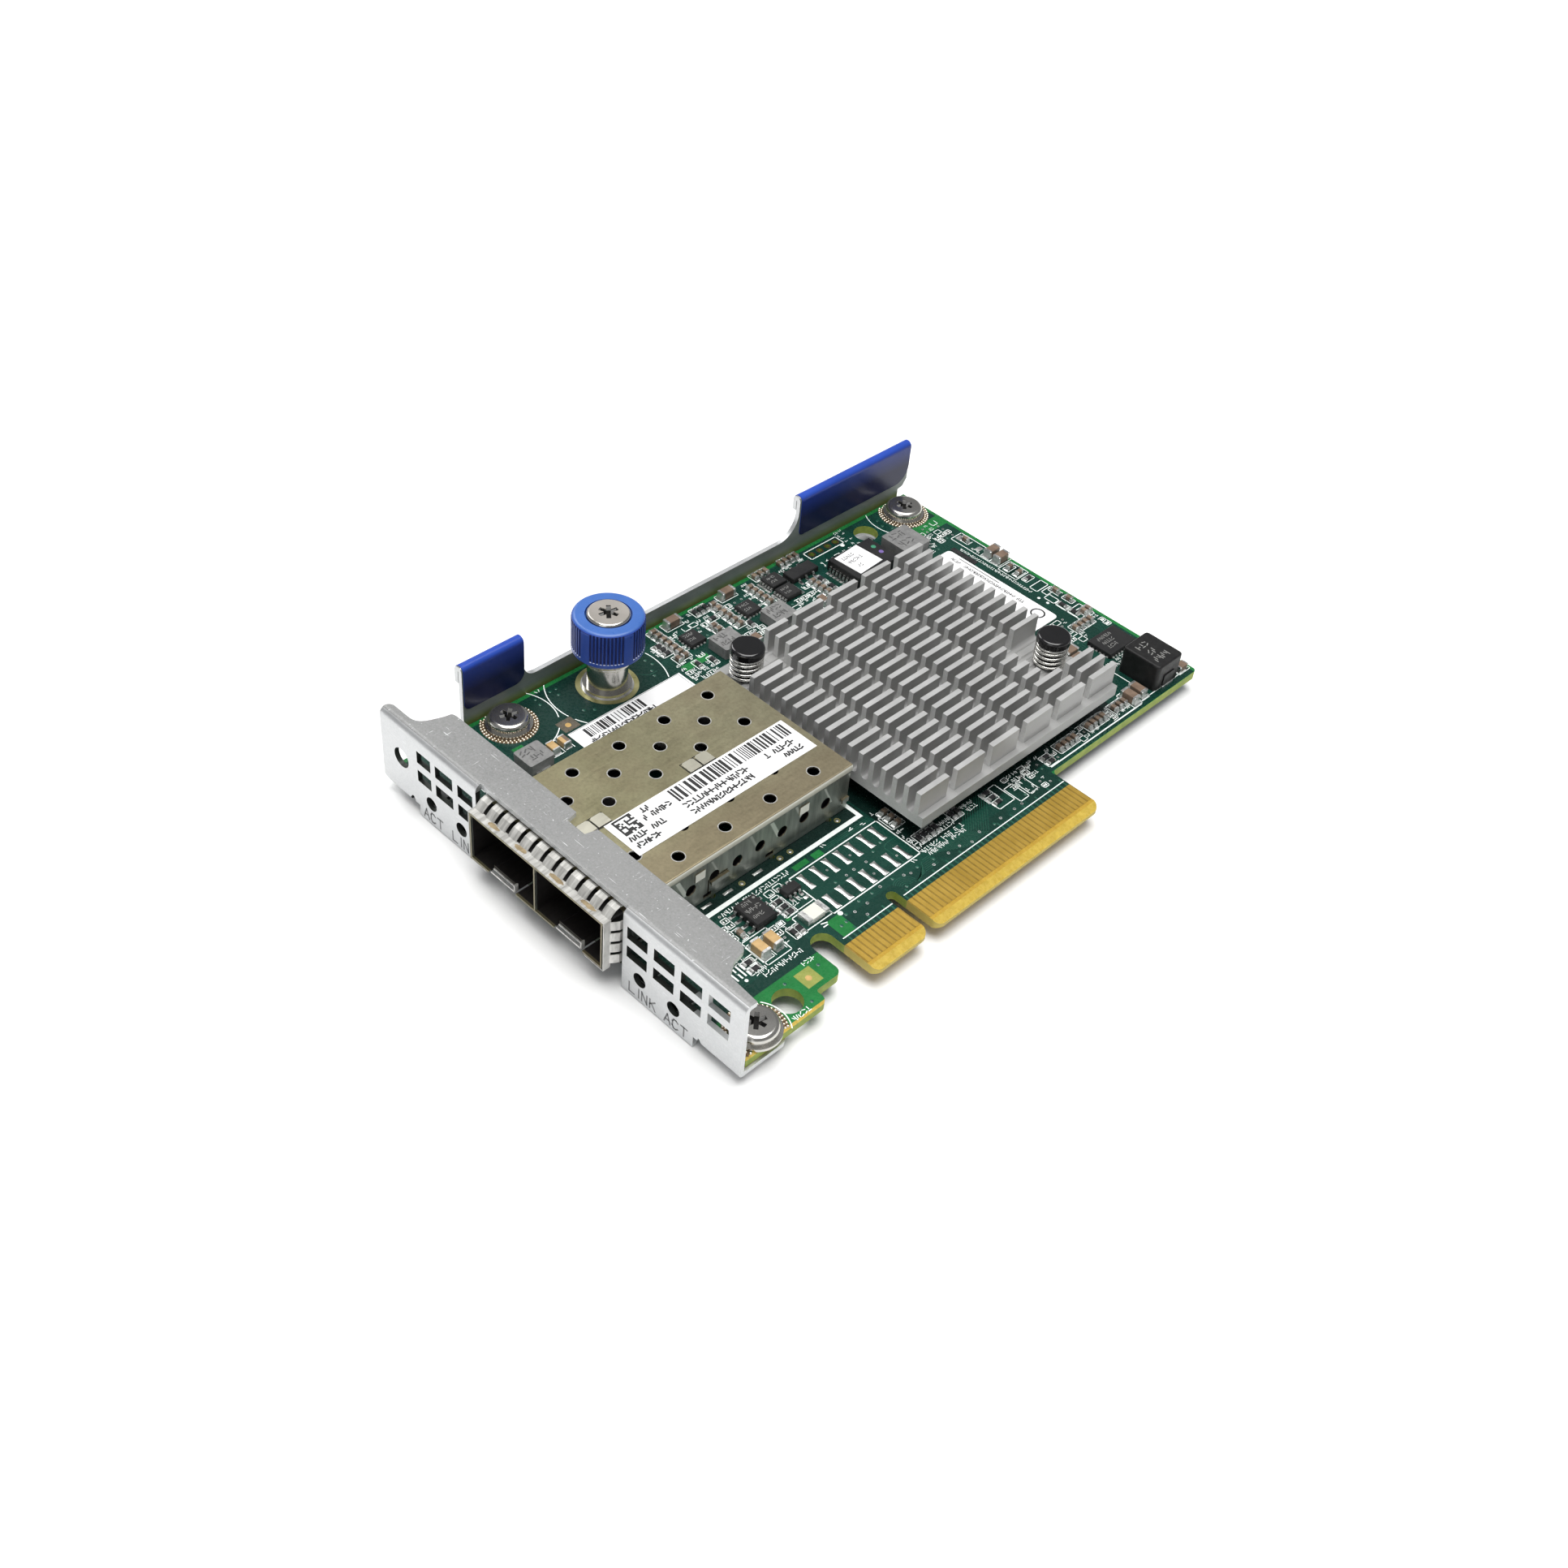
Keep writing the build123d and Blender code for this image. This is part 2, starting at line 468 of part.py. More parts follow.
keep("heat_sink", make_sink())
CHIP = (-15.4, 45.75)
keep("thermal_pad", bx(CHIP[0] - 11, CHIP[0] + 11, CHIP[1] - 11, CHIP[1] + 11, 2.95, HZ0))
chip = bx(CHIP[0] - 13.5, CHIP[0] + 13.5, CHIP[1] - 13.5, CHIP[1] + 13.5, 0.45, 1.35)
chip = chip + bx(CHIP[0] - 12.2, CHIP[0] + 12.2, CHIP[1] - 12.2, CHIP[1] + 12.2, 1.35, 2.95)
keep("controller_chip", chip)
balls = []
for i in range(8):
    for j in range(8):
        if 2 <= i <= 5 and 2 <= j <= 5:
            continue
        balls.append(cyl(CHIP[0] - 12.0 + i * 24.0 / 7, CHIP[1] - 12.0 + j * 24.0 / 7, 0.3, 0.0, 0.45))
keep("chip_solder_joints", group(balls))

PIN_TOP = 10.9
PIN_CAP = 1.3                   # thickness of a pin's head
for k, (x, y) in enumerate(PINS):
    nm = ("left", "right")[k]
    cap = cyl(x, y, 2.8, PIN_TOP - PIN_CAP, PIN_TOP)
    cap = fillet(cap.edges().group_by(Axis.Z)[-1], 0.5)
    p = cap + cyl(x, y, 2.1, PIN_TOP - 2.6, PIN_TOP - PIN_CAP + 0.1)
    p = p + cyl(x, y, 1.5, -2.0, PIN_TOP - 2.5)
    # split barb under the board
    barb = Pos(x, y, -2.475) * Cone(1.1, 2.15, 1.65)
    p = p + barb
    p = p - bx(x - 0.35, x + 0.35, y - 4, y + 4, -5, 0.4)
    keep("push_pin_%s" % nm, p)
    sp = cyl(x, y, 2.75, HZB + 0.03, PIN_TOP - PIN_CAP - 0.05) - cyl(x, y, 2.35, HZB - 1, PIN_TOP)
    keep("push_pin_spring_%s" % nm, sp)


# ---------------------------------------------------------------------------
# captive thumbscrew
# ---------------------------------------------------------------------------
kx, ky = KNOB
fer = cyl(kx, ky, 4.0, 0.0, 0.7) + cyl(kx, ky, FER_R, 0.6, 8.3) + cyl(kx, ky, 2.8, -BT - 0.25, 0.3)
fer = fer - cyl(kx, ky, 2.8, 1.0, 9) - cyl(kx, ky, 2.2, -4, 2)
keep("thumbscrew_ferrule", fer)

knob = cyl(kx, ky, KNOB_R, KNOB_Z0, KNOB_Z1)
knob = fillet(knob.edges().filter_by(GeomType.CIRCLE).group_by(Axis.Z)[-1], 0.7)
knob = chamfer(knob.edges().filter_by(GeomType.CIRCLE).group_by(Axis.Z)[0], 1.1)
flutes = []
for g in range(5):
    for j in range(10):
        a = math.radians(-44 + 72 * g + 5.7 * (j - 4.5))
        flutes.append(Pos(kx + (KNOB_R + 0.02) * math.cos(a), ky + (KNOB_R + 0.02) * math.sin(a), 0)
                      * cyl(0, 0, 0.2, KNOB_Z0 + 1.7, KNOB_Z1 - 0.32))
knob = knob.cut(*flutes)
knob = knob - cyl(kx, ky, 3.65, KNOB_Z0 - 1, 12.4) - cyl(kx, ky, 3.72, KNOB_Z1 - 0.75, KNOB_Z1 + 1) - cyl(kx, ky, 1.87, 10, 15)
knob = knob - cyl(kx, ky, SKIRT_R, KNOB_Z0 - 1, SKIRT_Z1)
keep("thumbscrew_knob", knob)

# metal skirt pressed into the underside of the knob
skirt = cyl(kx, ky, SKIRT_R, SKIRT_Z0, SKIRT_Z1)
skirt = fillet(skirt.edges().filter_by(GeomType.CIRCLE).group_by(Axis.Z)[0], 0.2)
flare = KNOB_Z0 - 0.02 - 5.85
skirt = skirt + Pos(kx, ky, 5.85 + flare / 2) * Cone(SKIRT_R, 4.62, flare)
skirt = skirt - cyl(kx, ky, 3.65, SKIRT_Z0 - 1, SKIRT_Z1 + 1)
keep("thumbscrew_skirt", skirt)

head = cyl(kx, ky, 3.5, KNOB_Z1 - 0.73, KNOB_Z1 + 0.35)
head = fillet(head.edges().filter_by(GeomType.CIRCLE).group_by(Axis.Z)[-1], 0.5)
scr = head + cyl(kx, ky, 1.85, -1.95, KNOB_Z1 - 0.7) + cyl(kx, ky, 1.45, -3.35, -1.9)
for a in (0, 60, 120):
    scr = scr - Pos(kx, ky, KNOB_Z1 - 0.1) * Rot(0, 0, a + 20) * Box(3.3, 0.75, 1.2)
keep("thumbscrew_screw", scr)
keep("thumbscrew_washer", cyl(kx, ky, 2.5, 12.0, 12.35) - cyl(kx, ky, 2.15, 11, 13))
keep("thumbscrew_spring", cyl(kx, ky, 2.55, 1.05, 11.97) - cyl(kx, ky, 2.15, 0, 13))


# ---------------------------------------------------------------------------
# board screws and the nuts clinched into the bracket under the board
# ---------------------------------------------------------------------------
sc, nuts = [], []
for x, y in SCREWS:
    h = cyl(x, y, 3.75, 0.0, 0.45) + cyl(x, y, 3.3, 0.0, 1.95)
    h = fillet(h.edges().filter_by(GeomType.CIRCLE).group_by(Axis.Z)[-1], 0.75)
    for a in (0, 60, 120):
        h = h - Pos(x, y, 1.7) * Rot(0, 0, a + 12) * Box(3.0, 0.7, 1.3)
    h = h + cyl(x, y, 1.3, -3.2, 0.1)
    sc.append(h)
    n = cyl(x, y, 2.4, -TABLE, -2.37) - cyl(x, y, 1.32, -5, 0)
    nuts.append(n)
keep("board_screws", group(sc))
keep("clinch_nuts", group(nuts))


# ---------------------------------------------------------------------------
# parts soldered to the board
# ---------------------------------------------------------------------------
def soic(xc, yc, w, l, h, n, pitch, lead=0.9, along="x"):
    """Plastic package w (X) by l (Y); n leads a side on the two edges across Y, or across X."""
    b = bx(xc - w / 2, xc + w / 2, yc - l / 2, yc + l / 2, 0.1, h)
    top = [e for e in b.edges() if abs(e.center().Z - h) < 1e-6]
    b = chamfer(top, 0.12)
    for i in range(n):
        o = (i - (n - 1) / 2) * pitch
        for s in (-1, 1):
            if along == "x":
                y0 = yc + s * (l / 2 - 0.1)
                y1 = yc + s * (l / 2 + lead)
                b = b + bx(xc + o - 0.2, xc + o + 0.2, min(y0, y1), max(y0, y1), 0.0, 0.2)
                b = b + bx(xc + o - 0.2, xc + o + 0.2, min(y0, y0 + s * 0.35), max(y0, y0 + s * 0.35), 0.0, h * 0.5)
            else:
                x0 = xc + s * (w / 2 - 0.1)
                x1 = xc + s * (w / 2 + lead)
                b = b + bx(min(x0, x1), max(x0, x1), yc + o - 0.2, yc + o + 0.2, 0.0, 0.2)
                b = b + bx(min(x0, x0 + s * 0.35), max(x0, x0 + s * 0.35), yc + o - 0.2, yc + o + 0.2, 0.0, h * 0.5)
    return b


def plain(xc, yc, w, l, h, c=0.08):
    b = bx(xc - w / 2, xc + w / 2, yc - l / 2, yc + l / 2, 0.0, h)
    top = [e for e in b.edges() if abs(e.center().Z - h) < 1e-6]
    return chamfer(top, c)


keep("memory_chip", soic(-42.3, 66.9, 7.4, 10.4, 2.2, 8, 0.8, lead=0.75, along="x"))
keep("chip_label", Pos(-42.6, 65.8, 2.24) * Rot(0, 0, 4) * Box(6.0, 6.0, 0.08))
keep("interface_chip", soic(4.6, -6.1, 4.9, 3.9, 1.3, 4, 1.27, along="x"))
keep("driver_chips", group([soic(-49.1, 51.5, 3.2, 3.4, 0.95, 5, 0.65, lead=0.6), soic(-45.4, 51.3, 3.2, 3.4, 0.95, 5, 0.65, lead=0.6)]))
keep("power_stage_chips", group([plain(-46.4, 29.7, 3.3, 3.3, 0.9), plain(-46.4, 42.6, 3.3, 3.3, 0.9)]))
keep("voltage_regulator", soic(-48.0, 57.0, 2.6, 6.2, 1.1, 3, 1.7, along="y", lead=0.9))
keep("power_controller", plain(-0.4, 84.1, 5.0, 7.0, 0.95))
keep("signal_transistor", soic(4.6, 1.0, 1.6, 2.9, 1.0, 3, 0.95, lead=0.6, along="y"))


def inductor(x0, x1, y0, y1, h):
    b = bx(x0, x1, y0, y1, 0.0, h)
    ed = [e for e in b.edges().filter_by(Axis.Z)]
    b = fillet(ed, 0.35)
    return b


keep("small_inductors", group([inductor(-42.2, -37.9, -11.6, -6.9, 2.0), inductor(-43.6, -39.2, 30.5, 35.3, 2.0),
                               inductor(-43.4, -39.0, 42.3, 47.1, 2.0)]))
keep("rear_inductor", inductor(-44.4, -38.0, 73.6, 79.7, 2.6))
li = bx(4.6, 12.2, 79.3, 85.9, 0.0, 5.0)
li = fillet([e for e in li.edges().filter_by(Axis.Z)], 0.7)
li = fillet([e for e in li.edges() if abs(e.center().Z - 5.0) < 1e-6], 0.35)
li = li + bx(12.0, 12.4, 81.2, 84.0, 0.0, 2.6)
keep("large_inductor", li)
fz = bx(8.85, 11.15, -1.9, 2.3, 0.0, 0.9)
keep("fuse", fz)

leds = []
for x in (-42.45, -35.4, 3.1, 9.8):
    l = bx(x - 1.0, x + 1.0, -25.2, -23.6, 0.0, 1.3)
    leds.append(l)
keep("status_lamps", group(leds))

# ceramic capacitors of the larger size: x, y, length along Y (0) or X (1)
BIG = [(-51.7, 30.0, 0), (-51.7, 42.6, 0), (9.9, -8.0, 1), (9.9, -10.4, 1), (-40.5, -3.0, 1), (-40.5, -5.2, 1),
       (-30.4, 88.2, 0), (-28.2, 88.0, 0), (-39.7, 38.0, 1), (-3.1, 76.0, 0), (-1.1, 75.4, 0), (10.4, 76.9, 1),
       (10.6, 74.6, 1), (11.4, 87.9, 0), (-39.4, 50.2, 0), (-39.9, 54.2, 1)]
bigs = []
for x, y, o in BIG:
    w, l = (3.0, 1.6) if o else (1.6, 3.0)
    if (x, y) in ((-40.5, -3.0), (-40.5, -5.2), (-39.7, 38.0), (-39.9, 54.2), (-39.4, 50.2), (11.4, 87.9)):
        w, l = (2.2, 1.4) if o else (1.4, 2.2)
    bigs.append(bx(x - w / 2, x + w / 2, y - l / 2, y + l / 2, 0.0, 1.45 if w + l > 4 else 1.1))
keep("large_capacitors", group(bigs))

# printed labels
keep("cage_label", bx(-15.9, -8.3, -16.6, 18.8, CZ1, CZ1 + 0.08))
keep("serial_label", bx(-41.7, -35.4, -1.2, 22.3, 0.0, 0.1))
rl = bx(-36.0, -11.0, 73.2, 83.0, 0.0, 0.1)
rl = fillet([e for e in rl.edges().filter_by(Axis.Z)], 0.8)
keep("rear_label", rl)

# rows of small capacitors and resistors: x0, y0, dx, dy, count, along
CAPS = [(-52.0, 26.0, 1.3, 0, 7, 0), (-51.2, 38.9, 1.35, 0, 6, 0), (-50.6, 47.2, 1.25, 0, 5, 0), (-45.0, 57.0, 1.25, 0, 4, 0),
        (-45.4, 60.2, 1.3, 0, 3, 0), (-52.3, 50.0, 0, 1.3, 3, 1), (-52.2, 56.0, 0, 1.3, 4, 1), (-36.2, 87.6, 0, 0, 1, 1),
        (-25.6, 87.4, 2.1, 0, 2, 0), (-16.0, 88.4, 1.5, 0, 3, 1), (-9.0, 87.5, 0, 1.2, 2, 1), (-7.0, 82.6, 0, 1.3, 4, 1),
        (10.4, 70.5, 0, 1.25, 3, 1), (10.4, 63.6, 0, 1.25, 4, 1), (10.6, 55.8, 0, 1.25, 4, 1), (2.4, 23.4, 1.4, 0, 3, 0),
        (5.8, -10.2, 0, 0, 1, 1), (-44.2, 24.5, 0, 1.25, 4, 1), (-46.9, 35.0, 1.2, 0, 2, 0)]
RES = [(-51.6, 35.2, 0, 1.2, 3, 1), (-48.6, 36.4, 1.15, 0, 4, 0), (-41.3, 26.2, 0, 0, 1, 1), (-40.6, 28.9, 0, 0, 1, 1),
       (-44.6, 58.8, 1.3, 0, 3, 1), (-41.4, 58.4, 0, 1.2, 3, 1), (-21.5, 87.6, 0, 0, 1, 0), (-12.6, 86.2, 2.6, 0, 2, 1),
       (-5.6, 82.8, 0, 1.15, 4, 1), (9.8, 59.9, 1.3, 0, 2, 0), (10.6, 52.4, 1.2, 0, 2, 0), (9.9, 38.6, 1.2, 0, 3, 0),
       (9.4, 31.0, 0, 1.2, 2, 1), (9.6, 23.4, 0, 1.2, 4, 1), (5.0, -1.9, 1.2, 0, 3, 0), (10.4, -13.2, 1.4, 0, 2, 0),
       (10.6, -4.3, 0, 1.1, 2, 1), (-48.8, 24.2, 1.1, 0, 3, 0), (-43.6, 39.4, 0, 1.1, 2, 1), (1.6, 73.4, 0, 0, 1, 0)]


TAKEN = []                     # footprints already used on the board
for nm in ("memory_chip", "interface_chip", "driver_chips", "power_stage_chips", "voltage_regulator", "power_controller",
           "signal_transistor", "small_inductors", "rear_inductor", "large_inductor", "fuse", "status_lamps",
           "large_capacitors", "board_screws", "thumbscrew_ferrule", "serial_label", "rear_label", "push_pin_left",
           "push_pin_right"):
    for sol in PARTS[nm].solids():
        q = sol.bounding_box()
        TAKEN.append((q.min.X, q.max.X, q.min.Y, q.max.Y))
for x, y in HOLES:
    TAKEN.append((x - HOLE_R, x + HOLE_R, y - HOLE_R, y + HOLE_R))
for x, y in HEADER:
    TAKEN.append((x - 0.7, x + 0.7, y - 0.7, y + 0.7))
TAKEN.append((CX0 - 0.3, CX1 + 0.3, CY0, CY1 + 0.3))


def rows(table, w, l, h):
    out = []
    for x0, y0, dx, dy, n, o in table:
        for i in range(n):
            x, y = x0 + dx * i, y0 + dy * i
            a, b = (l, w) if o else (w, l)
            if any(x - a / 2 < t[1] + 0.1 and x + a / 2 > t[0] - 0.1 and y - b / 2 < t[3] + 0.1 and y + b / 2 > t[2] - 0.1
                   for t in TAKEN):
                continue
            TAKEN.append((x - a / 2, x + a / 2, y - b / 2, y + b / 2))
            out.append(bx(x - a / 2, x + a / 2, y - b / 2, y + b / 2, 0.0, h))
    return out


keep("small_capacitors", group(rows(CAPS, 0.8, 1.5, 0.75)))
keep("chip_resistors", group(rows(RES, 0.75, 1.5, 0.4)))

# ---------------------------------------------------------------------------
os.makedirs("parts", exist_ok=True)
lo = [1e9] * 3
hi = [-1e9] * 3
for name, shape in PARTS.items():
    moved = Pos(*SHIFT) * shape
    if isinstance(shape, Compound) and len(shape.solids()) > 1:
        moved = Compound(children=[Pos(*SHIFT) * s for s in shape.solids()])
    bb = moved.bounding_box()
    for i, (a, b) in enumerate(zip((bb.min.X, bb.min.Y, bb.min.Z), (bb.max.X, bb.max.Y, bb.max.Z))):
        lo[i] = min(lo[i], a)
        hi[i] = max(hi[i], b)
    export_step(moved, "parts/%s.step" % name)
print("box", [round(v, 4) for v in lo], [round(v, 4) for v in hi])
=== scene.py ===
import json
import math
import random

import bpy
from mathutils import Matrix, Vector


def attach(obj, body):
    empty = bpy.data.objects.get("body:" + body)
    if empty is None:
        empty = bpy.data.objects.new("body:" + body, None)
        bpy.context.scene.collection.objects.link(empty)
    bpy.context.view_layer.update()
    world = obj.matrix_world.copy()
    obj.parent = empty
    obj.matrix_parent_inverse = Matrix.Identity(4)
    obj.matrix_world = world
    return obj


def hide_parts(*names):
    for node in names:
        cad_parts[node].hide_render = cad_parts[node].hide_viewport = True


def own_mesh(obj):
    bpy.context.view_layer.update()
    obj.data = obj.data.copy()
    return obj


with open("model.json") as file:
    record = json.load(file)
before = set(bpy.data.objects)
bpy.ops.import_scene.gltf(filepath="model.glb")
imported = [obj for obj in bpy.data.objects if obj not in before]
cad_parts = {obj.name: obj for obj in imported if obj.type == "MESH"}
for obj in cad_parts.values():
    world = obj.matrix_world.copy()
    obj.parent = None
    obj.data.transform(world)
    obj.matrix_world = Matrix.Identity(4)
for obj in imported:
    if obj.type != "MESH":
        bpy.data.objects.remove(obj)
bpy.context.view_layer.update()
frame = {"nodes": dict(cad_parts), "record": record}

RNG = random.Random(11)

# The card is described in millimetres in its own working axes: X along the faceplate, Y towards the rear, Z = 0 on the
# board's top face.  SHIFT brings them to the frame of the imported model.
SHIFT = (16.065, -30.72, 3.8)


def V(x, y, z):
    return ((x + SHIFT[0]) / 1000.0, (y + SHIFT[1]) / 1000.0, (z + SHIFT[2]) / 1000.0)


# ------------------------------------------------------------------ materials
class Nodes:
    def __init__(self, name):
        self.m = bpy.data.materials.new(name)
        self.m.use_nodes = True
        self.t = self.m.node_tree
        self.bsdf = next(n for n in self.t.nodes if n.type == "BSDF_PRINCIPLED")
        self.co = self.t.nodes.new("ShaderNodeTexCoord").outputs["Object"]

    def new(self, kind, **inputs):
        n = self.t.nodes.new(kind)
        for k, v in inputs.items():
            self.put(n, k, v)
        return n

    def put(self, n, key, v):
        sock = n.inputs[key] if not isinstance(key, int) else n.inputs[key]
        if hasattr(v, "links") or isinstance(v, bpy.types.NodeSocket):
            self.t.links.new(v, sock)
        else:
            sock.default_value = v

    def link(self, a, b):
        self.t.links.new(a, b)

    def noise(self, scale, detail=4.0, rough=0.6, vec=None, distortion=0.0):
        n = self.new("ShaderNodeTexNoise")
        n.inputs["Scale"].default_value = scale
        n.inputs["Detail"].default_value = detail
        n.inputs["Roughness"].default_value = rough
        n.inputs["Distortion"].default_value = distortion
        self.link(vec if vec is not None else self.co, n.inputs["Vector"])
        return n.outputs["Fac"]

    def voronoi(self, scale, vec=None, feature="F1"):
        n = self.new("ShaderNodeTexVoronoi")
        n.feature = feature
        n.inputs["Scale"].default_value = scale
        self.link(vec if vec is not None else self.co, n.inputs["Vector"])
        return n.outputs["Distance"]

    def stretch(self, sx, sy, sz, rot=(0, 0, 0)):
        n = self.new("ShaderNodeMapping")
        n.inputs["Scale"].default_value = (sx, sy, sz)
        n.inputs["Rotation"].default_value = rot
        self.link(self.co, n.inputs["Vector"])
        return n.outputs["Vector"]

    def ramp(self, fac, stops):
        n = self.new("ShaderNodeValToRGB")
        self.link(fac, n.inputs["Fac"])
        e = n.color_ramp.elements
        while len(e) < len(stops):
            e.new(0.5)
        for el, (p, c) in zip(e, stops):
            el.position = p
            el.color = (c, c, c, 1) if isinstance(c, (int, float)) else (*c, 1)
        return n.outputs["Color"]

    def span(self, fac, a, b, lo=0.0, hi=1.0):
        n = self.new("ShaderNodeMapRange")
        self.link(fac, n.inputs["Value"])
        n.inputs["From Min"].default_value = a
        n.inputs["From Max"].default_value = b
        n.inputs["To Min"].default_value = lo
        n.inputs["To Max"].default_value = hi
        return n.outputs["Result"]

    def math(self, op, a, b=0.0, clamp=False):
        n = self.new("ShaderNodeMath")
        n.operation = op
        n.use_clamp = clamp
        for i, v in enumerate((a, b)):
            if isinstance(v, (int, float)):
                n.inputs[i].default_value = v
            else:
                self.link(v, n.inputs[i])
        return n.outputs[0]

    def mix(self, fac, a, b, mode="MIX"):
        n = self.new("ShaderNodeMix")
        n.data_type = "RGBA"
        n.blend_type = mode
        n.clamp_factor = True
        if isinstance(fac, (int, float)):
            n.inputs[0].default_value = fac
        else:
            self.link(fac, n.inputs[0])
        for i, v in ((6, a), (7, b)):
            if isinstance(v, tuple):
                n.inputs[i].default_value = (*v, 1)
            else:
                self.link(v, n.inputs[i])
        return n.outputs[2]

    def axis(self, name):
        n = self.new("ShaderNodeSeparateXYZ")
        self.link(self.co, n.inputs[0])
        return n.outputs["XYZ".index(name)]

    def normal(self, name):
        g = self.new("ShaderNodeNewGeometry")
        n = self.new("ShaderNodeSeparateXYZ")
        self.link(g.outputs["True Normal"], n.inputs[0])
        return n.outputs["XYZ".index(name)]

    def bump(self, height, strength, dist, prev=None):
        n = self.new("ShaderNodeBump")
        n.inputs["Strength"].default_value = strength
        n.inputs["Distance"].default_value = dist
        self.link(height, n.inputs["Height"])
        if prev is not None:
            self.link(prev, n.inputs["Normal"])
        return n.outputs["Normal"]

    def within(self, v, a, b):
        """1 where a < v < b."""
        return self.math("MULTIPLY", self.math("GREATER_THAN", v, a), self.math("LESS_THAN", v, b))

    def finish(self, color, rough, metal=0.0, normal=None, coat=0.0, coat_rough=0.05, spec=0.5, sub=0.0, aniso=0.0, transmission=0.0):
        b = self.bsdf
        for key, v in (("Base Color", color), ("Roughness", rough), ("Metallic", metal)):
            if isinstance(v, tuple):
                b.inputs[key].default_value = (*v, 1)
            elif isinstance(v, (int, float)):
                b.inputs[key].default_value = v
            else:
                self.link(v, b.inputs[key])
        if normal is not None:
            self.link(normal, b.inputs["Normal"])
        b.inputs["Coat Weight"].default_value = coat
        b.inputs["Coat Roughness"].default_value = coat_rough
        b.inputs["Specular IOR Level"].default_value = spec
        b.inputs["Transmission Weight"].default_value = transmission
        return self.m


def plain_metal(name, c1, c2, r1, r2, grain=2500.0, grain_amount=0.2, blotch=120.0, stretch=None, bump=0.00002):
    n = Nodes(name)
    big = n.noise(blotch, 5, 0.6)
    vec = n.stretch(*stretch) if stretch else None
    fine = n.noise(grain, 3, 0.7, vec)
    col = n.mix(n.span(big, 0.3, 0.7), c1, c2)
    rough = n.math("ADD", n.span(big, 0.25, 0.75, r1, r2), n.span(fine, 0.2, 0.8, -0.06, 0.06))
    return n.finish(col, rough, 1.0, n.bump(fine, grain_amount, bump))


M = {}


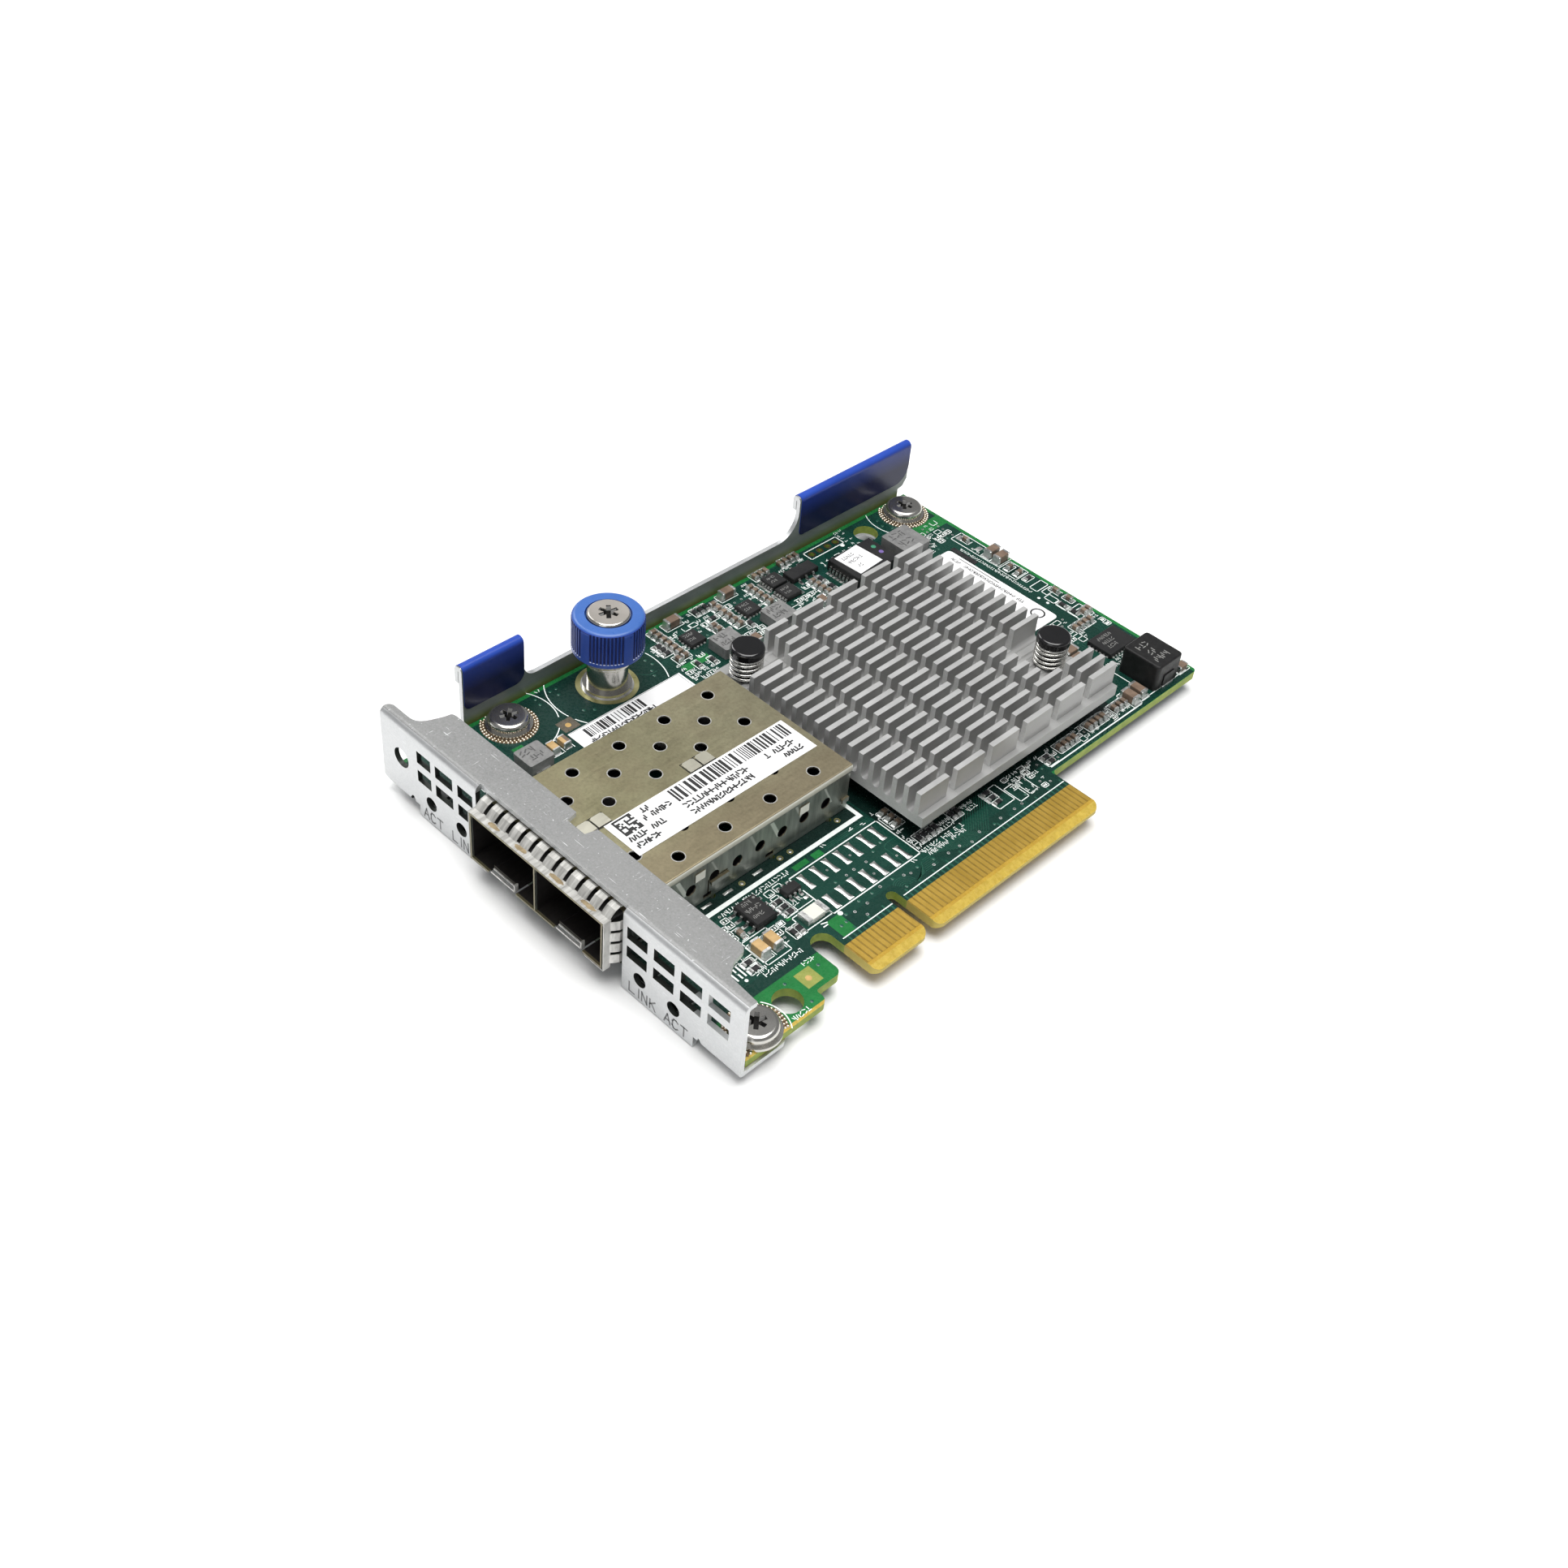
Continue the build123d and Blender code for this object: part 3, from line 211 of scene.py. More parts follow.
def make_materials():
    # folded zinc-plated sheet: fine grain, pale scratches, darker blotches
    n = Nodes("zinc_sheet")
    big = n.noise(70, 6, 0.65)
    fine = n.noise(3200, 3, 0.7)
    s1 = n.noise(260, 2, 0.5, n.stretch(1.0, 14.0, 14.0, (0, 0, 0.5)))
    s2 = n.noise(260, 2, 0.5, n.stretch(14.0, 1.0, 14.0, (0, 0, -0.3)))
    scr = n.math("MAXIMUM", n.span(s1, 0.70, 0.76), n.span(s2, 0.71, 0.76))
    col = n.mix(n.span(big, 0.3, 0.72), (0.50, 0.51, 0.515), (0.62, 0.63, 0.635))
    col = n.mix(n.math("MULTIPLY", scr, 0.55), col, (0.85, 0.86, 0.87))
    col = n.mix(n.span(fine, 0.35, 0.75, 0.0, 0.22), col, (0.30, 0.31, 0.32))
    rough = n.math("SUBTRACT", n.span(big, 0.25, 0.75, 0.36, 0.50), n.math("MULTIPLY", scr, 0.12))
    nx, nz = n.normal("X"), n.normal("Z")
    x, z = n.axis("X"), n.axis("Z")
    # the upper flange is a little rougher, is painted a darker grey as painted shade and has bright nicks; the
    # faceplate is painted paler as painted light
    specks = n.span(n.noise(2200, 2, 0.6), 0.68, 0.76)
    upper = n.math("MULTIPLY", n.math("GREATER_THAN", nz, 0.9), n.math("GREATER_THAN", z, V(0, 0, 11.0)[2]))
    flange_shade_col = n.mix(n.span(fine, 0.3, 0.75), n.mix(n.span(big, 0.3, 0.7), (0.19, 0.192, 0.19), (0.26, 0.262, 0.26)), (0.30, 0.302, 0.30))
    flange_shade_col = n.mix(n.math("MAXIMUM", n.math("MULTIPLY", specks, 0.5), n.math("MULTIPLY", scr, 0.6)), flange_shade_col, (0.85, 0.86, 0.87))
    col = n.mix(upper, n.mix(0.18, n.mix(n.span(fine, 0.3, 0.75, 0.0, 0.25), col, (0.36, 0.37, 0.38)), (0.95, 0.96, 0.96)), flange_shade_col)
    # the inner face of the side rail carries a painted reflection of the board: dark green-grey, greener near the
    # board, with less metal
    inner = n.math("MULTIPLY", n.math("GREATER_THAN", nx, 0.7), n.math("LESS_THAN", x, V(-53.5, 0, 0)[0]))
    rail_reflection_col = n.mix(n.span(n.noise(260, 4, 0.6, n.stretch(1.0, 0.15, 1.0)), 0.35, 0.7), (0.15, 0.175, 0.165), (0.23, 0.26, 0.245))
    rail_reflection_col = n.mix(n.span(z, V(0, 0, 1.6)[2], V(0, 0, 0.2)[2]), rail_reflection_col, (0.16, 0.19, 0.06))
    col = n.mix(inner, col, rail_reflection_col)
    # the cut edges of the openings are in shade
    cut = n.math("MULTIPLY", n.math("MULTIPLY", n.within(x, V(-53.2, 0, 0)[0], V(13.6, 0, 0)[0]), n.math("LESS_THAN", n.math("ABSOLUTE", n.normal("Y")), 0.3)),
                 n.math("MULTIPLY", n.math("LESS_THAN", n.axis("Y"), V(0, -25.5, 0)[1]), n.within(z, V(0, 0, -2.2)[2], V(0, 0, 10.3)[2])))
    col = n.mix(cut, col, (0.06, 0.065, 0.06))
    M["bracket"] = n.finish(col, n.math("ADD", rough, n.math("MULTIPLY", upper, 0.12)), n.math("SUBTRACT", 0.85, n.math("MULTIPLY", inner, 0.7)), n.bump(fine, 0.22, 0.00003, n.bump(big, 0.12, 0.0001)))

    # printed film on the tabs
    n = Nodes("blue_film")
    big = n.noise(160, 4, 0.6)
    fine = n.noise(1500, 3, 0.6)
    x, z, nx = n.axis("X"), n.axis("Z"), n.normal("X")
    col = n.mix(n.span(big, 0.3, 0.7), (0.017, 0.056, 0.34), (0.024, 0.070, 0.40))
    # painted shade: the inner faces of the film are painted dark navy, growing lighter towards the top
    face = n.mix(n.span(z, V(0, 0, 6.5)[2], V(0, 0, 11.0)[2]), n.mix(big, (0.003, 0.006, 0.042), (0.006, 0.010, 0.060)), (0.014, 0.040, 0.27))
    col = n.mix(n.span(nx, 0.75, 0.98), col, face)
    M["film"] = n.finish(col, n.span(fine, 0.3, 0.7, 0.28, 0.33), 0.0, n.bump(fine, 0.015, 0.00002), coat=0.06, coat_rough=0.18, spec=0.28)

    # circuit board
    n = Nodes("solder_mask")
    x, y, z = n.axis("X"), n.axis("Y"), n.axis("Z")
    nz = n.math("ABSOLUTE", n.normal("Z"))
    # copper under the mask shows as a slightly different green: narrow runs along both axes, in patches
    warp = n.noise(60, 2, 0.5)
    runs_y = n.span(n.noise(430, 0, 0.5, n.stretch(1.0, 0.03, 1.0)), 0.50, 0.53)
    runs_x = n.span(n.noise(430, 0, 0.5, n.stretch(0.03, 1.0, 1.0)), 0.52, 0.55)
    patch = n.span(warp, 0.47, 0.50)
    runs = n.math("ADD", n.math("MULTIPLY", runs_y, patch), n.math("MULTIPLY", runs_x, n.math("SUBTRACT", 1.0, patch)))
    big = n.noise(90, 3, 0.55)
    dark = n.mix(n.span(big, 0.3, 0.7), (0.0032, 0.028, 0.020), (0.0042, 0.034, 0.024))
    lite = n.mix(n.span(big, 0.3, 0.7), (0.0055, 0.046, 0.032), (0.0068, 0.054, 0.037))
    top = n.mix(n.math("MULTIPLY", runs, 0.5), dark, lite)
    # strips and patches where the laminate has no copper and the mask looks brighter

    def region(x0, x1, y0, y1):
        ax, ay, _ = V(x0, y0, 0)
        bx, by, _ = V(x1, y1, 0)
        return n.math("MULTIPLY", n.within(x, ax, bx), n.within(y, ay, by))

    bright = None
    for r in ((-54, -52.55, -27, 91), (-54, 14, 89.15, 91), (13.35, 14, 50.5, 91), (15.25, 23.5, -27, -4.2), (12.2, 15.8, 0.5, 3.2), (1.3, 2.5, 8.5, 10.4),
              (1.3, 2.3, 4.6, 7.5), (-44.8, -42.0, 82.3, 91), (-42.7, -41.2, 23.6, 29.3), (-44.6, -43.3, -10, -8), (7.9, 8.5, -3.4, -2.6)):
        k = region(*r)
        bright = k if bright is None else n.math("MAXIMUM", bright, k)
    # painted shadow: a darker strip on the board along the right wall of the cage
    top = n.mix(region(-2.4, -0.1, -27, 21), top, n.mix(n.span(n.noise(500, 3), 0.3, 0.7), (0.0035, 0.014, 0.011), (0.006, 0.022, 0.017)))
    # painted shadow on the board under the heat sink
    shade = n.mix(n.span(n.noise(500, 3), 0.3, 0.7), (0.0025, 0.011, 0.009), (0.004, 0.017, 0.013))
    top = n.mix(region(-35.0, 11.4, 21.3, 71.0), top, shade)
    calm = n.mix(n.span(n.noise(300, 3), 0.3, 0.7), (0.0032, 0.025, 0.018), (0.0042, 0.031, 0.023))
    top = n.mix(region(-52.5, -31.0, -6.0, 21.3), top, calm)
    glow = n.mix(n.span(n.noise(300, 3), 0.3, 0.7), (0.010, 0.125, 0.030), (0.015, 0.170, 0.042))
    top = n.mix(bright, top, glow)
    for r, c in (((16.2, 19.2, -10.15, -7.2), ((0.22, 0.25, 0.06), (0.30, 0.32, 0.085))), ((-44.85, -42.2, -1.1, 1.95), ((0.085, 0.075, 0.055), (0.12, 0.105, 0.08)))):
        top = n.mix(region(*r), top, n.mix(n.span(n.noise(500, 3), 0.3, 0.7), *c))
    side = n.mix(n.span(n.noise(900, 3, 0.6), 0.3, 0.7), (0.19, 0.27, 0.042), (0.33, 0.39, 0.075))
    # painted shade: the board's front edge behind the faceplate is painted nearly black
    front = n.math("MULTIPLY", n.math("LESS_THAN", y, V(0, -24.5, 0)[1]), n.math("LESS_THAN", x, V(14.2, 0, 0)[0]))
    side = n.mix(front, side, (0.012, 0.022, 0.010))
    flat = n.math("GREATER_THAN", nz, 0.8)
    col = n.mix(flat, side, top)
    # bare laminate on the edge tongue: brown between the contacts, paler towards the bevel
    tongue = n.math("MULTIPLY", n.math("GREATER_THAN", x, V(16.98, 0, 0)[0]), n.within(y, V(0, -0.9, 0)[1], V(0, 50.6, 0)[1]))
    gap = n.mix(n.span(n.noise(700, 3, 0.6), 0.3, 0.7), (0.20, 0.125, 0.022), (0.28, 0.18, 0.036))
    lip = n.mix(n.span(n.noise(700, 3, 0.6), 0.3, 0.7), (0.37, 0.225, 0.029), (0.45, 0.29, 0.041))
    bare = n.mix(n.math("GREATER_THAN", x, V(21.3, 0, 0)[0]), gap, lip)
    bevel = n.mix(n.span(n.noise(900, 3, 0.6), 0.3, 0.7), (0.42, 0.29, 0.046), (0.54, 0.39, 0.068))
    slanted = n.math("MULTIPLY", n.math("LESS_THAN", nz, 0.985), n.math("GREATER_THAN", nz, 0.3))
    col = n.mix(n.math("MULTIPLY", tongue, flat), col, bare)
    col = n.mix(slanted, col, bevel)
    col = n.mix(n.math("MULTIPLY", tongue, n.math("LESS_THAN", nz, 0.3)), col, (0.50, 0.40, 0.10))
    rough = n.math("ADD", n.span(n.noise(1800, 3, 0.6), 0.3, 0.7, 0.22, 0.34), n.math("MULTIPLY", n.math("LESS_THAN", nz, 0.8), 0.3))
    h = n.math("ADD", n.math("MULTIPLY", runs, 0.3), n.math("MULTIPLY", n.noise(2600, 2, 0.5), 0.2))
    M["board"] = n.finish(col, rough, 0.0, n.bump(h, 0.22, 0.00002), spec=0.32)

    n = Nodes("gold_plate")
    k, f = n.noise(300, 4, 0.6), n.noise(3000, 3, 0.7)
    M["gold"] = n.finish(n.mix(n.span(k, 0.3, 0.7), (0.465, 0.295, 0.046), (0.595, 0.39, 0.074)), n.span(f, 0.2, 0.8, 0.26, 0.38), 0.6,
                         n.bump(f, 0.15, 0.00002))
    n = Nodes("nickel_silver")
    x, y, z = n.axis("X"), n.axis("Y"), n.axis("Z")
    big, fine = n.noise(60, 5, 0.6), n.noise(2800, 3, 0.7, n.stretch(1.0, 0.12, 1.0))
    col = n.mix(n.span(big, 0.3, 0.7), (0.29, 0.27, 0.155), (0.37, 0.345, 0.215))
    # the cover is browner towards the right and in faint clouds, with fine darker grains
    cloud = n.math("MULTIPLY", n.span(n.noise(110, 4, 0.65), 0.42, 0.70), 0.40)
    right = n.math("MULTIPLY", n.span(x, V(-12.0, 0, 0)[0], V(-6.0, 0, 0)[0]), 0.55)
    rear = n.math("MULTIPLY", n.span(y, V(0, -10.0, 0)[1], V(0, 18.0, 0)[1]), 0.5)
    col = n.mix(rear, col, (0.47, 0.44, 0.31))
    col = n.mix(n.math("MAXIMUM", cloud, right), col, (0.265, 0.205, 0.135))
    col = n.mix(n.span(n.noise(1900, 3, 0.7), 0.42, 0.75, 0.0, 0.30), col, (0.12, 0.10, 0.06))
    # the walls: darker, streaked upright, with slanted bright streaks under the fold and a paler foot
    wall = n.math("GREATER_THAN", n.math("ABSOLUTE", n.normal("X")), 0.7)
    up = n.noise(900, 3, 0.6, n.stretch(1.0, 1.0, 0.10))
    wcol = n.mix(n.span(up, 0.32, 0.70), (0.19, 0.205, 0.185), (0.36, 0.375, 0.34))
    c = n.new("ShaderNodeCombineXYZ")
    n.link(n.math("ADD", y, n.math("MULTIPLY", z, 0.48)), c.inputs[0])
    slant = n.span(n.noise(430, 1, 0.5, c.outputs[0]), 0.585, 0.64)
    slant = n.math("MULTIPLY", slant, n.within(z, V(0, 0, 3.6)[2], V(0, 0, 7.3)[2]))
    wcol = n.mix(n.math("MULTIPLY", slant, 0.85), wcol, (0.92, 0.92, 0.86))
    foot = n.math("MULTIPLY", n.span(z, V(0, 0, 1.3)[2], V(0, 0, 0.7)[2]), 0.75)
    wcol = n.mix(foot, wcol, (0.46, 0.50, 0.46))
    # painted highlight: the rounded fold at the top of the walls is painted brighter towards the top
    fold = n.math("GREATER_THAN", z, V(0, 0, 7.75)[2])
    wcol = n.mix(fold, wcol, n.mix(n.span(z, V(0, 0, 7.8)[2], V(0, 0, 8.9)[2]), (0.44, 0.43, 0.35), (0.86, 0.85, 0.76)))
    # painted reflection: a near-white band across the outer walls
    stands = n.math("GREATER_THAN", n.math("ABSOLUTE", n.math("SUBTRACT", x, V(16.2 - 32.4, 0, 0)[0])), 0.01422)
    wcol = n.mix(n.math("MULTIPLY", n.math("MULTIPLY", stands, n.within(z, V(0, 0, 4.9)[2], V(0, 0, 7.0)[2])), n.math("SUBTRACT", 1.0, fold)), wcol, (0.90, 0.89, 0.80))
    col = n.mix(wall, col, wcol)
    # painted shade: the inside of the ports is painted nearly black
    port_inside_shade = n.math("MULTIPLY", n.within(x, V(-30.17, 0, 0)[0], V(-2.23, 0, 0)[0]),
                    n.math("MULTIPLY", n.math("GREATER_THAN", y, V(0, -28.55, 0)[1]), n.math("LESS_THAN", z, V(0, 0, 8.74)[2])))
    col = n.mix(port_inside_shade, col, n.mix(fine, (0.045, 0.040, 0.040), (0.085, 0.078, 0.076)))
    # painted shadow: the strip of the cage where it passes the faceplate is painted near black
    under = n.math("MULTIPLY", n.within(y, V(0, -27.75, 0)[1], V(0, -25.3, 0)[1]), n.math("GREATER_THAN", z, V(0, 0, -0.2)[2]))
    under = n.math("MULTIPLY", under, n.math("SUBTRACT", 1.0, port_inside_shade))
    col = n.mix(under, col, (0.018, 0.017, 0.016))
    # painted shade: the front faces of the cage are darkened
    brow = n.math("MULTIPLY", n.math("LESS_THAN", n.normal("Y"), -0.7), n.math("LESS_THAN", y, V(0, -27.0, 0)[1]))
    col = n.mix(n.math("MULTIPLY", brow, 0.45), col, (0.11, 0.105, 0.085))
    tabs = n.math("GREATER_THAN", z, V(0, 0, 8.965)[2])
    col = n.mix(tabs, col, n.mix(big, (0.56, 0.54, 0.43), (0.70, 0.68, 0.58)))
    # metal is lowered under the painted reflection band and the painted shadow
    less_metal_where_painted = n.math("MAXIMUM", n.math("MULTIPLY", n.math("MULTIPLY", stands, wall), 0.75), n.math("MULTIPLY", under, 0.6))
    M["cage"] = n.finish(col, n.math("ADD", n.span(big, 0.25, 0.75, 0.30, 0.40), n.span(fine, 0.2, 0.8, -0.06, 0.06)), n.math("SUBTRACT", 0.85, less_metal_where_painted), n.bump(fine, 0.3, 0.00002))
    n = Nodes("tin_finger")
    gz = n.math("ABSOLUTE", n.normal("Z"))
    big, fine = n.noise(400, 4, 0.6), n.noise(1700, 3, 0.6, n.stretch(1.0, 0.15, 0.15))
    # painted light: the upright faces are painted brighter and the upward faces darker
    face = n.mix(n.span(fine, 0.3, 0.7), (0.36, 0.355, 0.34), (0.74, 0.73, 0.70))
    lid = n.mix(n.span(fine, 0.3, 0.7), (0.24, 0.235, 0.22), (0.54, 0.535, 0.51))
    M["gasket"] = n.finish(n.mix(n.span(gz, 0.25, 0.85), face, lid), n.span(big, 0.25, 0.75, 0.36, 0.46), 0.35, n.bump(fine, 0.2, 0.00002))
    n = Nodes("anodised")
    z, nz = n.axis("Z"), n.normal("Z")
    big, fine = n.noise(200, 5, 0.6), n.noise(2400, 3, 0.7, n.stretch(1.0, 0.08, 1.0))
    # painted highlight: the fin tops are painted brighter where the top light falls on them; the sides are darker near
    # the tops and lighter towards the base
    lit_fin_tops = n.math("MULTIPLY", n.math("GREATER_THAN", nz, 0.8), n.math("GREATER_THAN", z, V(0, 0, 9.0)[2]))
    low = n.mix(n.span(big, 0.3, 0.7), (0.305, 0.305, 0.30), (0.375, 0.375, 0.37))
    col = n.mix(lit_fin_tops, n.mix(n.span(z, V(0, 0, 8.9)[2], V(0, 0, 5.2)[2]), low, (0.40, 0.40, 0.395)), n.mix(n.span(big, 0.3, 0.7), (0.41, 0.41, 0.405), (0.49, 0.49, 0.485)))
    # painted highlight on the end faces of the fins
    ends = n.math("GREATER_THAN", n.math("ABSOLUTE", n.normal("Y")), 0.7)
    col = n.mix(ends, col, n.mix(fine, (0.52, 0.52, 0.515), (0.70, 0.70, 0.69)))
    M["sink"] = n.finish(col, n.math("ADD", n.span(big, 0.25, 0.75, 0.36, 0.46), n.span(fine, 0.2, 0.8, -0.05, 0.05)), 0.35, n.bump(fine, 0.25, 0.00002))
    M["solder"] = plain_metal("solder", (0.62, 0.63, 0.64), (0.80, 0.80, 0.80), 0.22, 0.42, 1800, 0.4, 700, None, 0.00004)
    M["spring"] = plain_metal("spring_wire", (0.72, 0.71, 0.67), (0.84, 0.83, 0.79), 0.20, 0.30, 2000, 0.05, 400)
    n = Nodes("nickel_steel")
    big, fine = n.noise(150, 3, 0.5), n.noise(1800, 2, 0.5)
    z, nz = n.axis("Z"), n.math("ABSOLUTE", n.normal("Z"))
    col = n.mix(n.span(big, 0.3, 0.7), (0.50, 0.49, 0.46), (0.60, 0.585, 0.55))
    low = n.math("MULTIPLY", n.within(z, V(0, 0, 1.02)[2], V(0, 0, 1.9)[2]), n.math("LESS_THAN", nz, 0.25))
    high = n.math("MULTIPLY", n.within(z, V(0, 0, 13.35)[2], V(0, 0, 14.3)[2]), n.math("LESS_THAN", nz, 0.25))
    drive = n.math("MAXIMUM", high, n.math("MULTIPLY", low, 1.0))
    rad = None
    for cx, cy in ((-49.5, -6.4), (-49.1, 85.2), (19.5, -20.7), (-47.1, 11.67)):
        px, py, _ = V(cx, cy, 0)
        dx, dy = n.math("SUBTRACT", n.axis("X"), px), n.math("SUBTRACT", n.axis("Y"), py)
        r = n.math("SQRT", n.math("ADD", n.math("MULTIPLY", dx, dx), n.math("MULTIPLY", dy, dy)))
        rad = r if rad is None else n.math("MINIMUM", rad, r)
    drive = n.math("MULTIPLY", drive, n.math("LESS_THAN", rad, 0.0018))
    # painted light and shade: the walls of the drive recesses run from near black to near white by the way they face,
    # with less metal
    facet_light_shade = n.span(n.math("ADD", n.math("MULTIPLY", n.normal("X"), 0.8), n.math("MULTIPLY", n.normal("Y"), 0.6)), -0.25, 0.25)
    col = n.mix(drive, col, n.mix(facet_light_shade, (0.03, 0.03, 0.03), (0.96, 0.95, 0.93)))
    # painted shade on the floors of the drive recesses
    recess_floor_shade = n.math("MAXIMUM", n.within(z, V(0, 0, 13.3)[2], V(0, 0, 13.6)[2]), n.within(z, V(0, 0, 0.98)[2], V(0, 0, 1.15)[2]))
    recess_floor_shade = n.math("MULTIPLY", n.math("MULTIPLY", recess_floor_shade, n.math("GREATER_THAN", nz, 0.9)), n.math("LESS_THAN", rad, 0.0018))
    col = n.mix(recess_floor_shade, col, (0.06, 0.058, 0.055))
    crown = n.math("MULTIPLY", n.math("GREATER_THAN", z, V(0, 0, 14.35)[2]), n.math("GREATER_THAN", nz, 0.93))
    col = n.mix(crown, col, n.mix(n.span(big, 0.3, 0.7), (0.38, 0.355, 0.325), (0.48, 0.45, 0.415)))
    M["screw"] = n.finish(col, n.span(big, 0.3, 0.7, 0.15, 0.22), n.math("SUBTRACT", n.math("SUBTRACT", 0.96, n.math("MULTIPLY", crown, 0.6)), n.math("MULTIPLY", drive, 0.8)), n.bump(fine, 0.04, 0.00002))

    n = Nodes("black_port")
    M["port"] = n.finish(n.mix(n.noise(400, 3), (0.010, 0.010, 0.011), (0.018, 0.018, 0.019)), n.span(n.noise(900), 0.3, 0.7, 0.4, 0.55), 0.0,
                         n.bump(n.noise(2500), 0.2, 0.00003))
    n = Nodes("package_black")
    col = n.mix(n.span(n.noise(220, 4), 0.3, 0.7), (0.010, 0.010, 0.011), (0.020, 0.020, 0.020))
    M["chip"] = n.finish(col, n.span(n.noise(1500, 3), 0.3, 0.7, 0.42, 0.58), 0.0, n.bump(n.noise(4500, 2), 0.3, 0.00003), spec=0.28)
    n = Nodes("thermal_pad")
    M["pad"] = n.finish(n.mix(n.noise(500), (0.35, 0.36, 0.38), (0.45, 0.46, 0.48)), n.span(n.noise(900), 0.3, 0.7, 0.7, 0.85), 0.0,
                        n.bump(n.noise(1500), 0.3, 0.00005))
    n = Nodes("cap_black")
    M["cap"] = n.finish(n.mix(n.noise(300), (0.003, 0.003, 0.0035), (0.008, 0.008, 0.009)), n.span(n.noise(700), 0.3, 0.7, 0.10, 0.18), 0.0,
                        n.bump(n.noise(800, 2), 0.05, 0.00005), coat=0.3)
    n = Nodes("knob_blue")
    big = n.noise(220, 4, 0.6)
    x, y, z, nz = n.axis("X"), n.axis("Y"), n.axis("Z"), n.normal("Z")
    kx, ky, _ = V(-47.1, 11.67, 0)
    dx, dy = n.math("SUBTRACT", x, kx), n.math("SUBTRACT", y, ky)
    rad = n.math("SQRT", n.math("ADD", n.math("MULTIPLY", dx, dx), n.math("MULTIPLY", dy, dy)))
    side = n.math("LESS_THAN", n.math("ABSOLUTE", nz), 0.75)
    col = n.mix(n.span(big, 0.3, 0.7), (0.038, 0.115, 0.37), (0.050, 0.137, 0.43))
    sides = n.mix(n.span(big, 0.3, 0.7), (0.024, 0.068, 0.34), (0.031, 0.084, 0.40))
    # the flutes are painted darker than the lands between them, as painted shade in the grooves
    sides = n.mix(n.math("MULTIPLY", n.within(rad, 0.0050, 0.00578), n.within(z, V(0, 0, 8.4)[2], V(0, 0, 13.8)[2])), sides, (0.006, 0.016, 0.115))
    col = n.mix(side, col, sides)
    # painted highlight: pale glints on the lower end faces of the flutes
    ends = n.math("MULTIPLY", n.within(z, V(0, 0, 8.2)[2], V(0, 0, 8.7)[2]), n.math("GREATER_THAN", nz, 0.8))
    col = n.mix(ends, col, (0.75, 0.82, 1.0))
    M["knob"] = n.finish(col, n.span(n.noise(1400, 3), 0.3, 0.7, 0.27, 0.38), 0.0, n.bump(n.noise(1800, 3), 0.12, 0.00004))
    n = Nodes("ferrite_grey")
    col = n.mix(n.span(n.noise(900, 5, 0.7), 0.3, 0.7), (0.15, 0.15, 0.15), (0.24, 0.24, 0.235))
    M["ferrite"] = n.finish(col, n.span(n.noise(1200), 0.3, 0.7, 0.5, 0.68), 0.25, n.bump(n.noise(2600, 4), 0.45, 0.00005))
    n = Nodes("ferrite_black")
    col = n.mix(n.span(n.noise(900, 5, 0.7), 0.3, 0.7), (0.007, 0.007, 0.0075), (0.016, 0.016, 0.016))
    M["ferrite_black"] = n.finish(col, n.span(n.noise(1200), 0.3, 0.7, 0.38, 0.52), 0.0, n.bump(n.noise(2600, 4), 0.3, 0.00005), spec=0.25)
    n = Nodes("ceramic_brown")
    col = n.mix(n.span(n.noise(700, 4), 0.3, 0.7), (0.13, 0.088, 0.062), (0.20, 0.14, 0.10))
    fore = n.math("LESS_THAN", n.axis("Y"), V(0, -3, 0)[1])
    col = n.mix(fore, col, n.mix(n.span(n.noise(700, 4), 0.3, 0.7), (0.42, 0.27, 0.11), (0.55, 0.37, 0.17)))
    M["ceramic_cap"] = n.finish(col, n.span(n.noise(1500), 0.3, 0.7, 0.3, 0.45), 0.0, n.bump(n.noise(2500), 0.2, 0.00003))
    n = Nodes("ceramic_tan")
    col = n.mix(n.span(n.noise(330, 2), 0.35, 0.65), (0.10, 0.072, 0.052), (0.22, 0.165, 0.12))
    M["ceramic_small"] = n.finish(col, n.span(n.noise(1500), 0.3, 0.7, 0.3, 0.45), 0.0, n.bump(n.noise(2500), 0.2, 0.00003))
    n = Nodes("resistor_black")
    col = n.mix(n.span(n.noise(700, 4), 0.3, 0.7), (0.012, 0.012, 0.013), (0.030, 0.030, 0.032))
    M["resistor"] = n.finish(col, n.span(n.noise(1500), 0.3, 0.7, 0.22, 0.34), 0.0, n.bump(n.noise(2500), 0.15, 0.00002))
    n = Nodes("fuse_body")
    M["fuse"] = n.finish(n.mix(n.noise(600), (0.62, 0.62, 0.56), (0.74, 0.74, 0.68)), n.span(n.noise(1500), 0.3, 0.7, 0.15, 0.3), 0.0,
                         n.bump(n.noise(1500), 0.1, 0.00003), coat=0.4)
    n = Nodes("lamp_body")
    M["lamp"] = n.finish(n.mix(n.noise(600), (0.025, 0.027, 0.026), (0.06, 0.062, 0.06)), n.span(n.noise(1500), 0.3, 0.7, 0.25, 0.38), 0.0,
                         n.bump(n.noise(1500), 0.1, 0.00003))
    n = Nodes("label_paper")
    col = n.mix(n.span(n.noise(700, 5), 0.3, 0.7), (0.76, 0.76, 0.765), (0.82, 0.82, 0.825))
    M["paper"] = n.finish(col, n.span(n.noise(1500), 0.3, 0.7, 0.38, 0.5), 0.0, n.bump(n.noise(1200, 4), 0.15, 0.00002))

